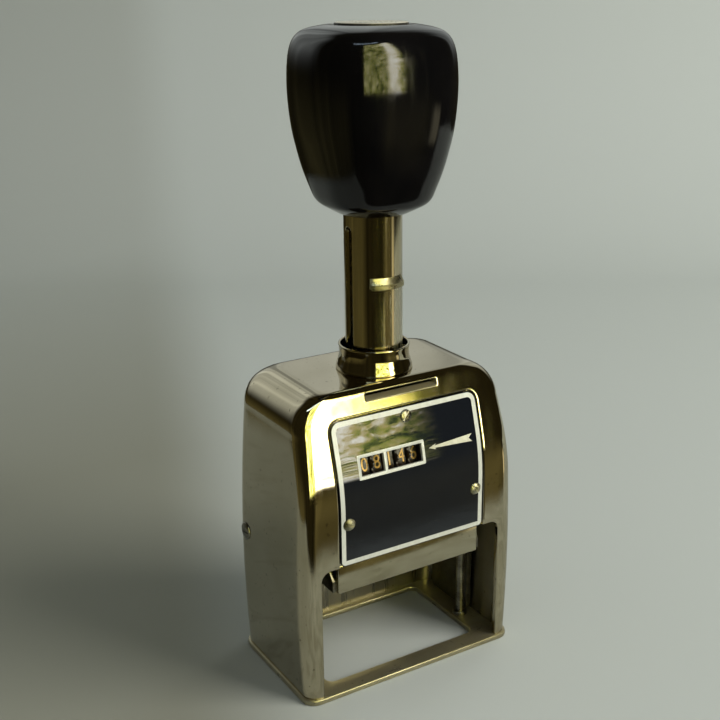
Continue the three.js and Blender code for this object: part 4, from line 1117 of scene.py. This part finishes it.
# Number wheel: a ten-sided drum, a hub and a toothed rim on one bore, drawn round +Z
def wheelTree():
    add, given = newTree("numberWheel", "Drum Radius, Drum Width, Drum Turn, Tip Radius, Root Radius, Rim Width, "
                          "Rim Turn, Hub Radius, Hub Length, Bore Radius", ("Sides", "Teeth"))
    drumRadius, drumWidth, drumTurn, tip, root, rimWidth, rimTurn, *rest = given
    hub, length, bore, sides, teeth, material = rest
    corners = add("Math", (teeth, 4.0), operation="MULTIPLY")
    disc = add("MeshCircle", {"Vertices": corners, "Radius": 1.0}, fill_type="NGON")
    corner = add("Math", (add("InputIndex"), 4.0), operation="MODULO")
    isTip = add("Math", (corner, 1.5, 0.6), operation="COMPARE")
    reach = add("MapRange", (isTip, 0.0, 1.0, root, tip))
    spread = add("VectorMath", {0: add("InputPosition"), "Scale": reach},
                     operation="SCALE")
    toothed = add("SetPosition", {"Geometry": disc, "Position": spread})
    rim = add("ExtrudeMesh", {"Mesh": toothed, "Offset Scale": rimWidth, "Individual": False})
    both = add("JoinGeometry", {0: [rim, add("FlipFaces", (toothed,))]})
    welded = add("MergeByDistance", {"Geometry": both, "Distance": 1e-6})
    rimLift = add("Math", (length, rimWidth), operation="SUBTRACT")
    hubDepth, boreDepth = [add("Math", (length, share), operation="MULTIPLY") for share in (0.9, 3.0)]
    drum, hub, bore = [
        placed(add, add("MeshCylinder", {"Vertices": count, "Radius": radius, "Depth": depth}),
               width, 0.5, turn)
        for count, radius, depth, width, turn in (
            (sides, drumRadius, drumWidth, drumWidth, drumTurn), (48, hub, hubDepth, length, 0.0),
            (32, bore, boreDepth, length, 0.0))]
    united = add("MeshBoolean", {1: [drum, placed(add, welded, rimLift, 1.0, rimTurn), hub]},
                     operation="UNION", solver="EXACT")
    bored = add("MeshBoolean", (united, bore), operation="DIFFERENCE", solver="EXACT")
    return endTree(add, bored, material)


wheelSizes = {"Drum Width": 2.4, "Sides": 10, "Tip Radius": 8.85, "Root Radius": 7.85, "Rim Width": 0.6,
              "Teeth": 20, "Hub Radius": 6.0, "Hub Length": 3.2, "Bore Radius": 2.3}
wheels = dict(
    count=5, shown=[0, 8, 1, 4, 6], chamfer=0.1, shaftLine=11.5, figureWidth=0.86, figureSunk=0.05,
    print=dict(flip=-1, radius=9.1, face=-90.0, figure=3.7, raised=0.26, body=typeMetal, ink=typeMetal,
               slot="type_metal", toothTurn=0),
    reading=dict(flip=1, radius=7.5, face=180 - 15.9, figure=3.35, raised=0.05, body=drumBlack, ink=goldPaint,
                 slot="dark_wheel", toothTurn=1),
)


# One figure as a thin solid, centred, standing on z = 0 and one unit tall
def figureMesh(text):
    curve = bpy.data.curves.new("figure", "FONT")
    curve.body, curve.align_x, curve.align_y = text, "CENTER", "CENTER"
    curve.extrude, curve.resolution_u = 0.5, 4
    obj = objectOf("figure", curve)
    bpy.context.view_layer.update()
    mesh = bpy.data.meshes.new_from_object(obj.evaluated_get(bpy.context.evaluated_depsgraph_get()))
    bpy.data.objects.remove(obj)
    spots = [v.co.copy() for v in mesh.vertices]
    (left, right), (foot, top) = [(min(s[k] for s in spots), max(s[k] for s in spots)) for k in (0, 1)]
    middleX, middleY, tall = (left + right) / 2, (foot + top) / 2, top - foot
    points = [((s.x - middleX) / tall, (s.y - middleY) / tall, s.z + 0.5) for s in spots]
    faces = [tuple(p.vertices) for p in mesh.polygons]
    bpy.data.meshes.remove(mesh)
    return points, faces


def makeWheels():
    tree = wheelTree()
    figures = [figureMesh(str(digit)) for digit in range(10)]
    sides, width, sunk = wheelSizes["Sides"], wheelSizes["Drum Width"], wheels["figureSunk"]
    step, toothPitch = 4 * quarter / sides, 4 * quarter / wheelSizes["Teeth"]
    for kind in ("print", "reading"):
        flip, radius, face, size, raised, body, ink, slot, toothTurn = valuesOf(
            wheels[kind], "flip radius face figure raised body ink slot toothTurn")
        face = math.radians(face)
        tooth = quarter + math.radians(wheels["shaftLine"]) + toothTurn * (2 * quarter + toothPitch / 2)
        base = bakeTree(kind + "_wheel_base", tree, {
            **wheelSizes, "Drum Radius": radius, "Drum Turn": face + step / 2,
            "Rim Turn": tooth - 1.5 * toothPitch / 4, "Material": body})
        # Laid along +X: the tree's x and y become the machine's y and z
        base.transform(Matrix(((0, 0, 1, 0), (1, 0, 0, 0), (0, 1, 0, 0), (0, 0, 0, 1))))
        for i in range(wheels["count"]):
            node = f"{kind}_wheel_{i + 1}"
            middle, left = centreOf(node), boxOf(node)[0].x
            work = bmesh.new()
            work.from_mesh(base)
            bevelSharp(work, wheels["chamfer"], 1, 25)
            bmesh.ops.translate(work, verts=work.verts, vec=Vector((left, 0, 0)) * mm)
            for f in work.faces:
                f.material_index = 0
            for k in range(sides):
                points, faces = figures[(wheels["shown"][i] + k) % 10]
                angle = face + flip * k * step
                out = Vector((0, math.cos(angle), math.sin(angle)))
                up = Vector((0, math.sin(angle), -math.cos(angle))) * flip
                centre = Vector((left + width / 2, 0, 0)) + out * (radius * math.cos(step / 2) - sunk)
                wide, tall, high = Vector((size * wheels["figureWidth"], 0, 0)), up * size, out * (raised + sunk)
                made = [work.verts.new((centre + wide * x + tall * y + high * z) * mm) for x, y, z in points]
                for f in faces:
                    work.faces.new([made[v] for v in f][::flip]).material_index = 1
            bmesh.ops.translate(work, verts=work.verts, vec=Vector((0, middle.y, middle.z)) * mm)
            standFor([node], node + "_figures", node, slot, work, [body, ink], 30)


makeWheels()
print("spring and wheels made")


# A star in a node's name stands for left and right
def bothSides(table):
    return [(node.replace("*", side), *row) for node, *row in table
            for side in (("left", "right") if "*" in node else ("",))]


# Plain solids that take a merged copy with broken edges: node, body, slot, finish, bevel
dressed = bothSides([
    ("base_ring", "frame", "nickel_plate", baseNickel, 0.3),
    ("pad_tray", "pad_swing", "nickel_plate", barNickel, 0.35),
    ("cam_plate_*", "frame", "steel", stripSteel, 0.15),
    ("carriage_bridge", "plunger", "steel", stripSteel, 0.3),
    ("carriage_cheek_*", "plunger", "steel", stripSteel, 0.2),
    ("pad_arm_*", "pad_swing", "steel", steel, 0.15),
])


def makeDressed():
    for node, body, slot, finish, width in dressed:
        work = bmesh.new()
        work.from_mesh(frame["nodes"][node].data)
        bmesh.ops.remove_doubles(work, verts=work.verts, dist=2e-6)
        bmesh.ops.dissolve_limit(work, angle_limit=math.radians(1), verts=work.verts, edges=work.edges)
        bevelSharp(work, width, 3, 28)
        bmesh.ops.triangulate(work, faces=[f for f in work.faces if len(f.verts) > 4])
        standFor([node], node + "_dressed", body, slot, work, [finish])


makeDressed()

# Round stock turned from each node's own box: node, body, axis, bore, slot, finish, flange. A guide rod's flange
# is its radius past the rod, its height and its broken edge.
rodFlange = (0.8, 1.0, 0.1)
stockChamfer = dict(most=0.25, lengthShare=6, radiusShare=4)
roundStock = bothSides([
    ("guide_rod_*", "frame", "z", 0, "steel", steel, rodFlange),
    ("cross_pin", "frame", "x", 0, "steel", steel, None),
    ("spring_seat", "frame", "z", 0, "steel", steel, None),
    ("stem_plug", "plunger", "z", 0, "steel", steel, None),
    ("print_shaft", "plunger", "x", 0, "steel", steel, None),
    ("reading_shaft", "plunger", "x", 0, "steel", steel, None),
    ("print_spacer_*", "plunger", "x", 2.3, "brass", brass, None),
    ("reading_spacer_*", "plunger", "x", 2.3, "brass", brass, None),
    ("pad_follower_*", "pad_swing", "x", 0, "steel", steel, None),
])


def makeRoundStock():
    for node, body, axis, bore, slot, finish, flange in roundStock:
        low, high = boxOf(node)
        middle, index = (low + high) / 2, "xyz".index(axis)
        length, radius = high[index] - low[index], (high[1] - low[1]) / 2
        most, lengthShare, radiusShare = stockChamfer.values()
        chamfer = min(most, length / lengthShare, radius / radiusShare)
        outline = [(bore, 0), (radius - chamfer, 0), (radius, chamfer)]
        if flange:
            wide, tall, broken = radius + flange[0], flange[1], flange[2]
            outline = [(0, 0), (wide - broken, 0), (wide, broken), (wide, tall - broken), (wide - broken, tall),
                       (radius, tall)]
        outline += [(radius, length - chamfer), (radius - chamfer, length), (bore, length)]
        if bore:
            outline.append((bore, 0))
        skin = spun(outline, 40)
        if axis == "x":
            skin.points = [Vector((p.z + low.x, p.x + middle.y, p.y + middle.z)) for p in skin.points]
        else:
            skin.points = [Vector((p.x + middle.x, p.y + middle.y, p.z + low.z)) for p in skin.points]
        standFor([node], node + "_turned", body, slot, skin, [finish], 30)


makeRoundStock()
print("inner pieces made")

# Ink pad: a felt block, softly crowned, with rounded edges and a matted top
pad = dict(columns=60, rows=28, edge=0.9, corner=1.2, crown=0.15, sunk=0.05, matting=0.05,
           waves=((5.1, 3.7, 2), (4.3, 2.9, 1)))


def makePad():
    low, high = boxOf("ink_pad")
    middle, half = (low + high) / 2, (high - low) / 2
    edge, corner, crown, columns, rows = valuesOf(pad, "edge corner crown columns rows")

    def loopAt(inset):
        return roundedLoop(-half.x, half.x, -half.y, half.y, [corner] * 4, -inset, 0.8, 4)

    skin = Skin()
    rings = [(0, low.z)] + arc(edge, high.z - edge - crown, edge, 2 * quarter, -quarter, 5)
    skin.strip([[(x + middle.x, y + middle.y, z) for x, y in loopAt(inset)] for inset, z in rings])
    grid = [(x, y) for x in evenly(-half.x, half.x, columns)[1:-1] for y in evenly(-half.y, half.y, rows)[1:-1]]
    points, faces = fillRegion(loopAt(edge), [], [], [p for p in grid if isInside(p, loopAt(edge))], 0.35)
    matted = []
    for x, y in points:
        rise = max(0, 1 - (x / (half.x - edge)) ** 4) * max(0, 1 - (y / (half.y - edge)) ** 4)
        mat = pad["matting"]
        for (main, cross, bend), (u, v) in zip(pad["waves"], ((x, y), (y, x))):
            mat *= math.sin(u * main + math.sin(v * cross) * bend)
        matted.append((x + middle.x, y + middle.y, high.z - crown + (crown - pad["sunk"] + mat) * rise))
    skin.add(matted, faces)
    obj = standFor(["ink_pad"], "felt_ink_pad", "pad_swing", "felt", skin, [felt], 60)


makePad()
print("ink pad made")
